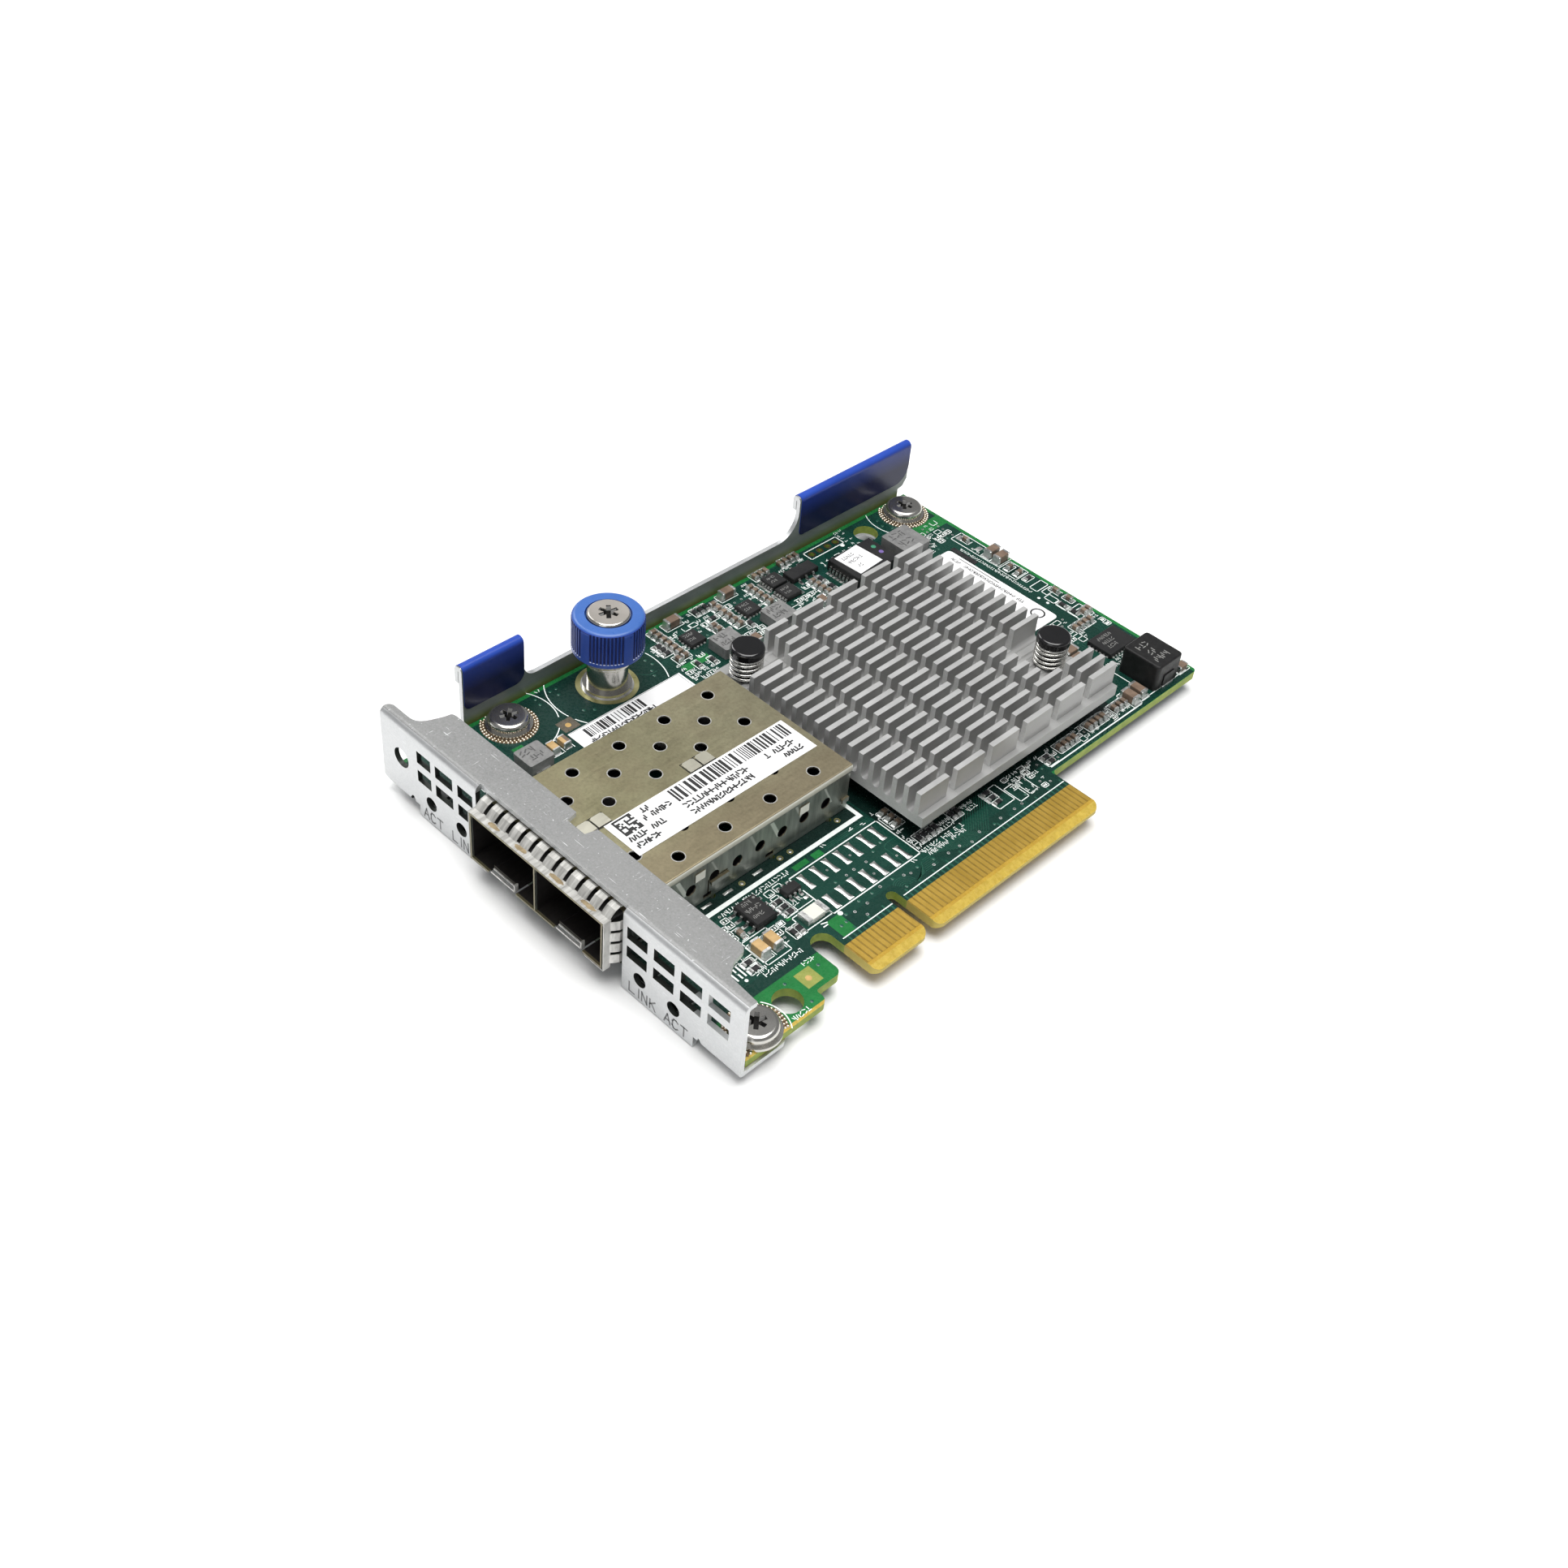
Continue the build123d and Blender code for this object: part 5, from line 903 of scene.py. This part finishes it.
# ------------------------------------------------------------------ copper runs under the mask
for i in range(49):
    y = float(i if i < 11 else i + 2)
    if 0.4 < y < 50.2:
        trace.quad(15.95 if i % 3 else 15.2, 16.98, y - 0.16, y + 0.16, 0.008)
for i in range(11):
    x1 = 13.0 + 0.24 * i
    y1 = 31.0 + 0.3 * i
    trace.line([(9.0, y1 + (x1 - 9.0) * 1.05 - 1.2), (x1, y1 - 1.2), (x1, 22.6 + 0.5 * i)], 0.1, 0.008)
for i in range(7):
    trace.line([(12.9 + 0.32 * i, 22.0), (12.9 + 0.32 * i, 20.2 - 0.2 * i), (15.2, 17.6 - 0.2 * i)], 0.1, 0.008)
for i in range(5):
    trace.arc(15.3, 14.6, 0.9 + 0.32 * i, 100, 220, 0.1, 0.008, 12)
for x in (1.45, 1.75, 2.05):
    trace.line([(x, 20.8), (x, 11.0)], 0.1, 0.008)
trace.line([(7.0, 21.0), (7.0, 19.0), (7.4, 18.0), (11.6, 18.0)], 0.12, 0.008)
for k in range(16):
    y = -24.0 + RNG.random() * 60
    x = -52.2 + RNG.random() * 7
    if not covered(x, x + 3, y, y + 3):
        trace.line([(x, y), (x + 1.4, y + 1.4), (x + 1.4, y + 3.0)], 0.12, 0.008)


# ------------------------------------------------------------------ printing on the board
def L(pts, w=0.2):
    silk.line(pts, w, ZS)


silk.quad(0.0, 0.75, -11.5, 20.6, ZS)
silk.quad(-2.9, 0.0, 19.9, 20.6, ZS)
L([(4.3, 2.6), (2.75, 2.6), (2.75, 21.3), (11.75, 21.3), (11.75, 2.6), (5.75, 2.6)])
L([(15.95, 0.2), (15.95, 10.4)], 0.17)
L([(15.95, 13.0), (15.95, 50.3)], 0.17)
L([(12.62, 51.5), (12.62, 75.2)], 0.24)
L([(4.9, 78.2), (12.1, 78.2)], 0.17)
L([(12.15, 78.2), (12.15, 88.4)], 0.17)
L([(7.9, -2.2), (7.9, 2.5)], 0.14)
silk.frame(8.5, 11.55, -2.6, 2.55, 0.17, ZS)
for x, y, r in ((12.3, 3.4, 0.42), (8.0, -4.5, 0.42), (12.5, -15.5, 0.27), (-49.3, 69.1, 0.42), (-16.6, 84.6, 0.28), (-14.7, 84.7, 0.28)):
    silk.disc(x, y, r, ZS)
for f in ((2.4, 3.5, -2.3, -0.9), (3.8, 4.7, -2.3, -0.9), (4.95, 6.15, -2.9, -1.1), (6.5, 7.6, -2.9, -1.1), (2.35, 3.55, -0.5, 1.0), (9.5, 10.6, -13.2, -11.5),
          (10.9, 12.0, -13.4, -12.0), (2.7, 5.8, 21.8, 23.8), (9.1, 12.2, 74.2, 78.2), (9.3, 13.5, 37.7, 41.3), (11.0, 14.5, 41.6, 43.6), (11.2, 14.3, 44.1, 46.1),
          (-38.2, -28.4, 86.0, 88.9), (-26.8, -24.6, 85.6, 89.1), (-24.6, -22.6, 85.6, 89.1), (-19.7, -18.0, 85.8, 89.0), (-17.5, -16.2, 86.4, 89.0),
          (-16.1, -13.9, 85.4, 86.9), (-13.5, -11.1, 85.4, 86.9), (-11.0, -7.6, 85.4, 88.9), (7.2, 12.5, -11.3, -6.6)):
    silk.frame(*f, 0.15, ZS)
for y in (-14.2, -14.9, -15.6, -16.4):
    silk.quad(9.6, 11.9, y - 0.14, y + 0.14, ZS)
# text columns that stand beside the parts
for c in ((1.2, 2.0, -9.6, 4.2), (13.1, 13.9, -13.6, -4.6), (12.15, 12.85, -13.8, -11.0), (15.2, 15.9, -7.6, -5.0), (11.4, 12.2, 21.6, 31.4), (12.35, 13.1, 22.2, 30.6),
          (9.2, 9.95, 23.2, 31.4), (10.2, 10.9, 24.0, 31.0), (21.2, 22.0, -15.6, -12.0), (12.4, 13.1, 23.0, 25.0), (9.0, 9.7, 31.9, 36.4), (10.0, 10.7, 33.6, 36.2)):
    column(silk, *c, ZS)
for r in ((1.7, 2.5, 18.9, 19.7), (1.2, 2.4, 16.6, 17.4), (1.0, 2.0, 11.0, 11.8), (12.0, 12.8, 19.0, 19.8), (12.0, 12.7, -0.4, 0.8), (7.2, 8.2, -3.3, -2.4),
          (6.3, 8.6, 22.2, 23.2), (9.0, 11.6, 21.7, 22.6), (-53.0, -52.2, 1.4, 2.3), (-35.0, -18.0, 84.6, 85.2), (-8.4, -3.6, 77.0, 77.8), (2.6, 3.8, 79.4, 80.3)):
    row(silk, *r, ZS)
# arcs that keep clear of the thumbscrew, the screws and the alignment holes
silk.arc(-47.1, 11.67, 10.1, 232, 282, 0.17, ZS)
silk.arc(-47.1, 11.67, 10.1, 289, 301, 0.17, ZS)
silk.arc(-47.1, 11.67, 10.1, 60, 101, 0.17, ZS)
silk.arc(-49.5, -6.4, 7.8, 62, 121, 0.17, ZS)
silk.arc(-49.5, -6.4, 7.8, 20, 43, 0.17, ZS)
silk.arc(-49.1, 85.2, 7.1, 237, 290, 0.17, ZS)
silk.arc(19.5, -20.7, 4.95, 52, 128, 0.17, ZS)


def busy(x0, x1, y0, y1, cw, ch, p_frame=0.5, p_print=0.3, p_via=0.12):
    """Fills the space between parts with outlines, bare pads, reference marks and vias."""
    y = y0
    while y + ch <= y1 + 1e-6:
        x = x0
        while x + cw <= x1 + 1e-6:
            a, b, c, d = x + 0.1, x + cw - 0.1, y + 0.1, y + ch - 0.1
            r = RNG.random()
            if not covered(a, b, c, d, 0.25):
                if r < p_frame:
                    silk.frame(a, b, c, d, 0.13, ZS, RNG.choice(("", "", "l", "b")))
                    if RNG.random() < 0.75:
                        if d - c > b - a:
                            tin.pillow(a + 0.2, b - 0.2, c + 0.2, c + 0.5, 0.06)
                            tin.pillow(a + 0.2, b - 0.2, d - 0.5, d - 0.2, 0.06)
                        else:
                            tin.pillow(a + 0.2, a + 0.5, c + 0.2, d - 0.2, 0.06)
                            tin.pillow(b - 0.5, b - 0.2, c + 0.2, d - 0.2, 0.06)
                elif r < p_frame + p_print:
                    if RNG.random() < 0.5:
                        column(silk, a, min(b, a + 0.62), c, d, ZS, 0.11)
                    else:
                        row(silk, a, b, c, min(d, c + 0.62), ZS, 0.11)
                elif r < p_frame + p_print + p_via:
                    tin.ring((a + b) / 2, (c + d) / 2, 0.1, 0.24, 0.016, 12)
                else:
                    via.dome((a + b) / 2, (c + d) / 2, 0.26, 0.26, 0.0, 0.05, 0.0, 10, 2)
            elif r < 0.45:
                # a narrow gap beside a part still holds a mark
                if not covered(a, a + 0.55, c, d, 0.06):
                    column(silk, a, a + 0.5, c, d, ZS, 0.1)
                elif not covered(a, b, c, c + 0.55, 0.06):
                    row(silk, a, b, c, c + 0.5, ZS, 0.1)
            x += cw
        y += ch


busy(-52.3, -43.4, 22.4, 61.6, 1.15, 1.6)
busy(-43.4, -37.9, 23.0, 30.0, 1.1, 1.5, 0.4, 0.4)
busy(-43.4, -37.9, 36.0, 42.0, 1.1, 1.5)
busy(-43.4, -37.9, 47.6, 61.6, 1.1, 1.5)
busy(-48.2, -46.6, 62.0, 73.4, 0.8, 1.2, 0.1, 0.7)
busy(-53.0, -47.2, 70.2, 73.0, 1.0, 1.3, 0.2, 0.6)
busy(-44.0, -37.6, 80.4, 89.0, 1.15, 1.5, 0.3, 0.5)
busy(-42.0, -36.4, 78.6, 82.6, 1.0, 1.3, 0.15, 0.7)
busy(-34.0, -28.6, 86.4, 88.6, 1.2, 1.1, 0.3, 0.4)
busy(-10.6, -3.2, 76.2, 84.6, 1.15, 1.5, 0.35, 0.45)
busy(-7.4, 3.8, 87.8, 89.2, 1.2, 1.3, 0.3, 0.5)
busy(2.4, 4.4, 76.0, 87.0, 0.9, 1.3, 0.1, 0.7)
busy(9.2, 12.4, 42.6, 74.0, 1.05, 1.35, 0.45, 0.42)
busy(13.0, 15.2, 44.2, 49.8, 1.05, 1.3, 0.3, 0.5)
busy(6.4, 12.2, 21.6, 22.4, 1.0, 0.8, 0.1, 0.8)
busy(0.9, 2.6, 21.6, 22.6, 0.85, 1.0, 0.1, 0.7)
busy(1.0, 12.4, -13.6, -3.2, 1.1, 1.4, 0.35, 0.4)
busy(3.0, 8.2, -3.2, 2.2, 1.1, 1.3, 0.5, 0.3)
busy(8.0, 12.2, -19.0, -11.0, 1.1, 1.35, 0.3, 0.4)
busy(-43.2, -31.2, -19.0, -12.2, 1.2, 1.5, 0.4, 0.4)
busy(-37.4, -31.2, -12.0, 22.0, 1.2, 1.5, 0.4, 0.35)
busy(-42.4, -38.0, -2.0, -0.6, 1.1, 0.7, 0.1, 0.8)
busy(-45.0, -42.8, -12.4, -9.4, 1.1, 1.4, 0.2, 0.5)
silk.done()
tin.done()
via.done(True)
trace.done()

# copper dots of the two alignment targets
target = Piece("alignment_targets", "tan_pad", "gold")
target.disc(17.8, -8.75, 0.5, 0.012, 20, 0.012)
target.disc(-43.45, 0.4, 0.5, 0.012, 20, 0.012)
target.done()


# ------------------------------------------------------------------ labels and marks
ink = Piece("label_print", "ink", "paper", t=0.01)
ZL = 9.04
bars(ink, -15.5, -12.7, -5.0, 18.5, ZL, 0.19)
for c in ((-12.0, -11.0, -5.0, 8.2), (-12.0, -11.0, 11.2, 18.0), (-10.3, -9.4, -5.0, 7.2), (-10.3, -9.4, 13.6, 17.8), (-15.3, -14.4, -11.2, -8.2),
          (-13.9, -13.0, -11.2, -5.8), (-11.9, -10.9, -15.6, -8.2), (-10.3, -9.4, -15.6, -11.0)):
    column(ink, *c, ZL, 0.28)
# a plain square code
for i in range(10):
    for j in range(10):
        if i == 0 or j == 0 or (i == 9 and j % 2) or (j == 9 and i % 2) or RNG.random() < 0.5:
            ink.quad(-15.7 + 0.34 * i, -15.7 + 0.34 * (i + 1), -15.5 + 0.34 * j, -15.5 + 0.34 * (j + 1), ZL)
bars(ink, -41.1, -38.9, 1.2, 13.4, 0.11, 0.17)
column(ink, -38.4, -37.6, 0.7, 14.2, 0.11, 0.25)
ink.line([(-41.55, -1.0), (-41.55, 22.1)], 0.07, 0.11)
ink.line([(-41.4, 21.9), (-35.7, 21.9)], 0.06, 0.11)
row(ink, -34.0, -17.0, 81.1, 81.7, 0.11, 0.15)
ink.line([(-33.0, 82.4), (-24.0, 82.4)], 0.16, 0.11)
ink.ring(-13.9, 80.9, 1.05, 1.35, 0.11, 28, 0.01)
ca, sa = math.cos(math.radians(4)), math.sin(math.radians(4))
for x, y0, y1 in ((-44.6, 63.4, 66.9), (-43.2, 63.6, 67.8), (-41.6, 64.4, 66.2)):
    small_print(ink, x + 0.75, y0, (-sa, ca), (-ca, -sa), int((y1 - y0) / 0.6), 0.72, 2.29)
ink.done()
# painted shadow: a flat black strip on the board near the rear label
strip = Piece("painted_shadow_strip", "resistor", "resistor", t=0.1)
strip.quad(-36.0, -30.3, 83.25, 84.3, 0.1)
strip.done()

mark = Piece("package_marks", "mark_grey", "chip", t=0.008)
column(mark, 2.6, 3.3, -7.2, -5.0, 1.308)
column(mark, 3.9, 4.6, -7.6, -4.6, 1.308)
column(mark, 5.3, 5.9, -7.4, -5.2, 1.308)
mark.disc(2.75, -4.7, 0.22, 1.308)
for x, y in ((-49.1, 51.5), (-45.4, 51.3)):
    column(mark, x - 0.9, x - 0.35, y - 1.1, y + 0.9, 0.958)
    column(mark, x + 0.15, x + 0.7, y - 1.1, y + 0.6, 0.958)
for x, y in ((-46.4, 29.7), (-46.4, 42.6)):
    column(mark, x - 1.1, x - 0.5, y - 1.2, y + 1.0, 0.908)
    column(mark, x + 0.1, x + 0.7, y - 1.2, y + 0.8, 0.908)
for k, x in enumerate((-2.2, -1.0, 0.2)):
    column(mark, x, x + 0.7, 82.0, 86.0 - 0.6 * k, 0.958)
for x0, y0, y1 in ((6.0, 80.7, 84.2), (7.9, 81.2, 83.2), (9.7, 80.5, 84.6)):
    column(mark, x0, x0 + 1.1, y0, y1, 5.008)
mark.done()
dark_mark = Piece("inductor_marks", "mark_dark", "ferrite", t=0.008)
for x0, x1, y0, y1, z in ((-41.6, -40.5, -11.1, -7.6, 2.008), (-39.9, -38.9, -11.1, -7.4, 2.008), (-43.0, -42.0, 31.1, 34.4, 2.008), (-41.3, -40.4, 31.1, 34.6, 2.008),
                          (-42.8, -41.8, 42.9, 46.4, 2.008), (-41.1, -40.2, 42.9, 46.2, 2.008), (-43.6, -42.2, 74.4, 78.8, 2.608), (-41.2, -39.8, 74.4, 78.6, 2.608)):
    column(dark_mark, x0, x1, y0, y1, z, 0.24)
dark_mark.done()
for nm, mat, x in (("paint_dot_green", "dot_green", -43.55), ("paint_dot_violet", "dot_violet", -41.68)):
    d = Piece(nm, mat, "chip", t=0.01)
    d.disc(x, 70.7, 0.45, 2.21, 20)
    d.done()

# the words stamped under the lamp holes, as thin engraved-looking strokes on the faceplate
LETTERS = {"L": ((0, 1, 0, 0), (0, 0, 0.6, 0)), "I": ((0.2, 0, 0.2, 1),), "N": ((0, 0, 0, 1), (0, 1, 0.6, 0), (0.6, 0, 0.6, 1)),
           "K": ((0, 0, 0, 1), (0, 0.45, 0.6, 1), (0.2, 0.6, 0.62, 0)), "A": ((0, 0, 0.34, 1), (0.34, 1, 0.68, 0), (0.14, 0.35, 0.54, 0.35)),
           "C": ((0.6, 0.85, 0.4, 1), (0.4, 1, 0.15, 1), (0.15, 1, 0, 0.75), (0, 0.75, 0, 0.25), (0, 0.25, 0.15, 0), (0.15, 0, 0.4, 0), (0.4, 0, 0.6, 0.15)),
           "T": ((0, 1, 0.7, 1), (0.35, 0, 0.35, 1))}
stamped = Piece("stamped_words", "stamp", "bracket")
YF = -26.66
for word, x0 in (("ACT", -44.4), ("LINK", -37.6), ("LINK", 1.1), ("ACT", 8.2)):
    x = x0
    for ch in word:
        h, wd = 1.75, 1.7
        for a, b, c, d in LETTERS[ch]:
            ax, az, bx, bz = x + a * wd, -3.25 + b * h, x + c * wd, -3.25 + d * h
            l = math.hypot(bx - ax, bz - az)
            ux, uz = (bx - ax) / l * 0.13, (bz - az) / l * 0.13
            q = [(ax - ux + uz, az - uz - ux), (bx + ux + uz, bz + uz - ux), (bx + ux - uz, bz + uz + ux), (ax - ux - uz, az - uz + ux)]
            stamped.add([(p[0], YF - 0.012, p[1]) for p in q] + [(p[0], YF, p[1]) for p in q],
                        [(0, 1, 2, 3)] + [(i, 4 + i, 4 + (i + 1) % 4, (i + 1) % 4) for i in range(4)])
        x += 0.95 if ch == "I" else 1.62
stamped.done()


# ------------------------------------------------------------------ pressed rims round the holes of the cover
rims = Piece("pressed_rims", "gasket", "cage", t=0.012)
lab = islands("cage_label")[0]
for xs, ys in (((-27.3, -19.3, -12.9, -4.8), (14.4, 5.4, -3.6, -12.6)), ((-23.3, -8.85), (9.9, 0.9, -8.1, -17.1))):
    for x in xs:
        for y in ys:
            if not (lab[0] < x < lab[1] and lab[2] < y < lab[3]):
                rims.ring(x, y, 0.95, 1.09, 8.962, 28)
rims.done()
gap = Piece("tab_gaps", "dark", "cage", t=0.012)
for y in (2.8, -17.4):
    for y0, y1 in ((y - 2.45, y - 0.15), (y + 0.15, y + 2.45)):
        gap.frame(-18.42, -15.92, y0 - 0.06, y1 + 0.06, 0.14, 8.964)
gap.done()
lips = Piece("latch_lips", "gasket", "cage")
for xc in (-23.32, -9.08):
    lips.cbox(xc - 2.6, xc + 2.75, -28.9, -28.72, 0.35, 0.62, 0.03)
    lips.cbox(xc - 2.6, xc + 2.75, -28.4, -28.2, 0.62, 0.86, 0.03)
    lips.cbox(xc + 2.5, xc + 2.75, -28.9, -28.2, 0.4, 1.75, 0.04)
    # lanced tab on the right wall, bent into the port
    xw = xc + 6.75
    for a, b in (((xw, -27.9, 3.3), (xw - 1.5, -25.6, 3.9)), ((xw - 1.5, -25.6, 3.9), (xw - 0.1, -24.6, 5.6)), ((xw, -27.9, 3.3), (xw - 0.1, -24.6, 3.2))):
        w = 0.09
        lips.add([(a[0], a[1], a[2] - w), (b[0], b[1], b[2] - w), (b[0], b[1], b[2] + w), (a[0], a[1], a[2] + w),
                  (a[0] + 0.1, a[1] + 0.1, a[2] - w), (b[0] + 0.1, b[1] + 0.1, b[2] - w), (b[0] + 0.1, b[1] + 0.1, b[2] + w), (a[0] + 0.1, a[1] + 0.1, a[2] + w)],
                 [(0, 1, 2, 3), (4, 7, 6, 5), (0, 4, 5, 1), (1, 5, 6, 2), (2, 6, 7, 3), (3, 7, 4, 0)])
lips.done()


# ------------------------------------------------------------------ weld stains on the lip of the cage
def blotch(piece, cx, cy, rx, ry, z, n=18):
    pts = []
    for i in range(n):
        a = 2 * math.pi * i / n
        k = 0.75 + 0.35 * RNG.random()
        pts.append((cx + rx * k * math.cos(a), cy + ry * k * math.sin(a)))
    piece.plate(pts, z)


stain = Piece("weld_stains", "stain", "gasket", t=0.006)
for x0, x1 in ((-27.0, -24.6), (-21.2, -18.7), (-13.9, -10.6), (-7.3, -4.2)):
    blotch(stain, (x0 + x1) / 2, -28.15, (x1 - x0) / 2, 0.42, 9.098)
    blotch(stain, x0 + 0.5, -28.2, 0.4, 0.3, 9.1)
stain.done()


# ------------------------------------------------------------------ coil springs
def coil(name, node, cx, cy, R, r, z0, z1, turns, dead=1.0, sides=10, per=30):
    """A compression spring with closed ends."""
    total = int(turns * per)
    pts, faces = [], []
    z0c, z1c = z0 + r, z1 - r
    pitch = (z1c - z0c - 2 * dead * 2 * r * 0.98) / (turns - 2 * dead)
    for i in range(total + 1):
        q = i / per
        if q < dead:
            z = z0c + q * 2 * r * 0.98
        elif q > turns - dead:
            z = z1c - (turns - q) * 2 * r * 0.98
        else:
            z = z0c + dead * 2 * r * 0.98 + (q - dead) * pitch
        a = 2 * math.pi * q
        for k in range(sides):
            b = 2 * math.pi * k / sides
            rr = R + r * math.cos(b)
            pts.append(V(cx + rr * math.cos(a), cy + rr * math.sin(a), min(max(z + r * math.sin(b), z0), z1)))
    for i in range(total):
        for k in range(sides):
            m = (k + 1) % sides
            faces.append((i * sides + k, (i + 1) * sides + k, (i + 1) * sides + m, i * sides + m))
    faces.append(tuple(range(sides)))
    faces.append(tuple(reversed(range(total * sides, (total + 1) * sides))))
    me = bpy.data.meshes.new(name)
    me.from_pydata(pts, [], faces)
    me.update()
    for p in me.polygons:
        p.use_smooth = True
    ob = bpy.data.objects.new(name, me)
    bpy.context.scene.collection.objects.link(ob)
    me.materials.append(M["spring"])
    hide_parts(node)
    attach(ob, "card")
    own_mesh(ob)
    return ob


for side, (x, y) in (("left", (-30.4, 25.9)), ("right", (-0.8, 66.05))):
    coil("coil_spring_" + side, "push_pin_spring_" + side, x, y, 2.5, 0.24, 5.18, 9.55, 5.2, 0.9)
coil("coil_spring_thumbscrew", "thumbscrew_spring", -47.1, 11.67, 2.35, 0.19, 1.05, 11.97, 9.0, 1.0)


# ------------------------------------------------------------------ camera, light, floor
def setup():
    sc = bpy.context.scene
    cam = bpy.data.cameras.new("camera")
    cam.sensor_width = 36.0
    cam.lens = 2273.888 / 1932.0 * 36.0
    cam.clip_start = 0.01
    cam.clip_end = 20.0
    ob = bpy.data.objects.new("camera", cam)
    sc.collection.objects.link(ob)
    right = (0.7087501805599786, 0.7010141276141364, 0.07907195736535788)
    down = (0.518207645022758, -0.441289964612012, -0.7326144987458933)
    fwd = (-0.47867945244825894, 0.5602163510806522, -0.6760352222966747)
    m = Matrix(((right[0], -down[0], -fwd[0]), (right[1], -down[1], -fwd[1]), (right[2], -down[2], -fwd[2])))
    ob.matrix_world = Matrix.Translation(V(122.7476776, -141.1350965, 190.2748482)) @ m.to_4x4()
    sc.camera = ob

    # a studio round the table: pale near the table, dim above it, and bright straight overhead
    w = bpy.data.worlds.new("world")
    w.use_nodes = True
    t = w.node_tree
    bg = t.nodes["Background"]
    co = t.nodes.new("ShaderNodeTexCoord")
    sep = t.nodes.new("ShaderNodeSeparateXYZ")
    rmp = t.nodes.new("ShaderNodeValToRGB")
    t.links.new(co.outputs["Generated"], sep.inputs[0])
    t.links.new(sep.outputs["Z"], rmp.inputs["Fac"])
    e = rmp.color_ramp.elements
    e[0].position, e[0].color = 0.0, (0.62, 0.63, 0.64, 1)
    e[1].position, e[1].color = 1.0, (1.0, 1.0, 1.0, 1)
    for p, c in ((0.22, 0.42), (0.55, 0.30), (0.82, 0.42)):
        k = e.new(p)
        k.color = (c, c * 1.01, c * 1.03, 1)
    t.links.new(rmp.outputs["Color"], bg.inputs["Color"])
    bg.inputs["Strength"].default_value = 0.72
    sc.world = w
    sc.view_settings.view_transform = "Standard"

    def area(name, loc, target, size, power, color=(1, 1, 1), size_y=None):
        d = bpy.data.lights.new(name, "AREA")
        d.energy = power
        d.color = color
        d.size = size
        if size_y:
            d.shape = "RECTANGLE"
            d.size_y = size_y
        o = bpy.data.objects.new(name, d)
        sc.collection.objects.link(o)
        v = Vector(target) - Vector(loc)
        o.rotation_euler = v.to_track_quat("-Z", "Y").to_euler()
        o.location = loc
        return o

    area("top", (0.02, -0.02, 0.85), (0, 0, 0), 0.75, 9.5, (1.0, 0.995, 0.98))
    area("left", (-0.65, 0.10, 0.55), (0, 0, 0), 0.35, 2.0, (1.0, 1.0, 1.0))
    area("front", (0.25, -0.75, 0.30), (0, 0, 0), 0.45, 0.9, (0.97, 0.99, 1.0))

    bpy.ops.mesh.primitive_plane_add(size=6.0, location=(0, 0, -0.0002))
    floor = bpy.context.object
    floor.name = "floor"
    n = Nodes("floor_white")
    n.finish(n.mix(n.noise(3.0), (0.90, 0.90, 0.90), (0.92, 0.92, 0.92)), 0.9, 0.0, spec=0.1)
    floor.data.materials.append(n.m)


setup()
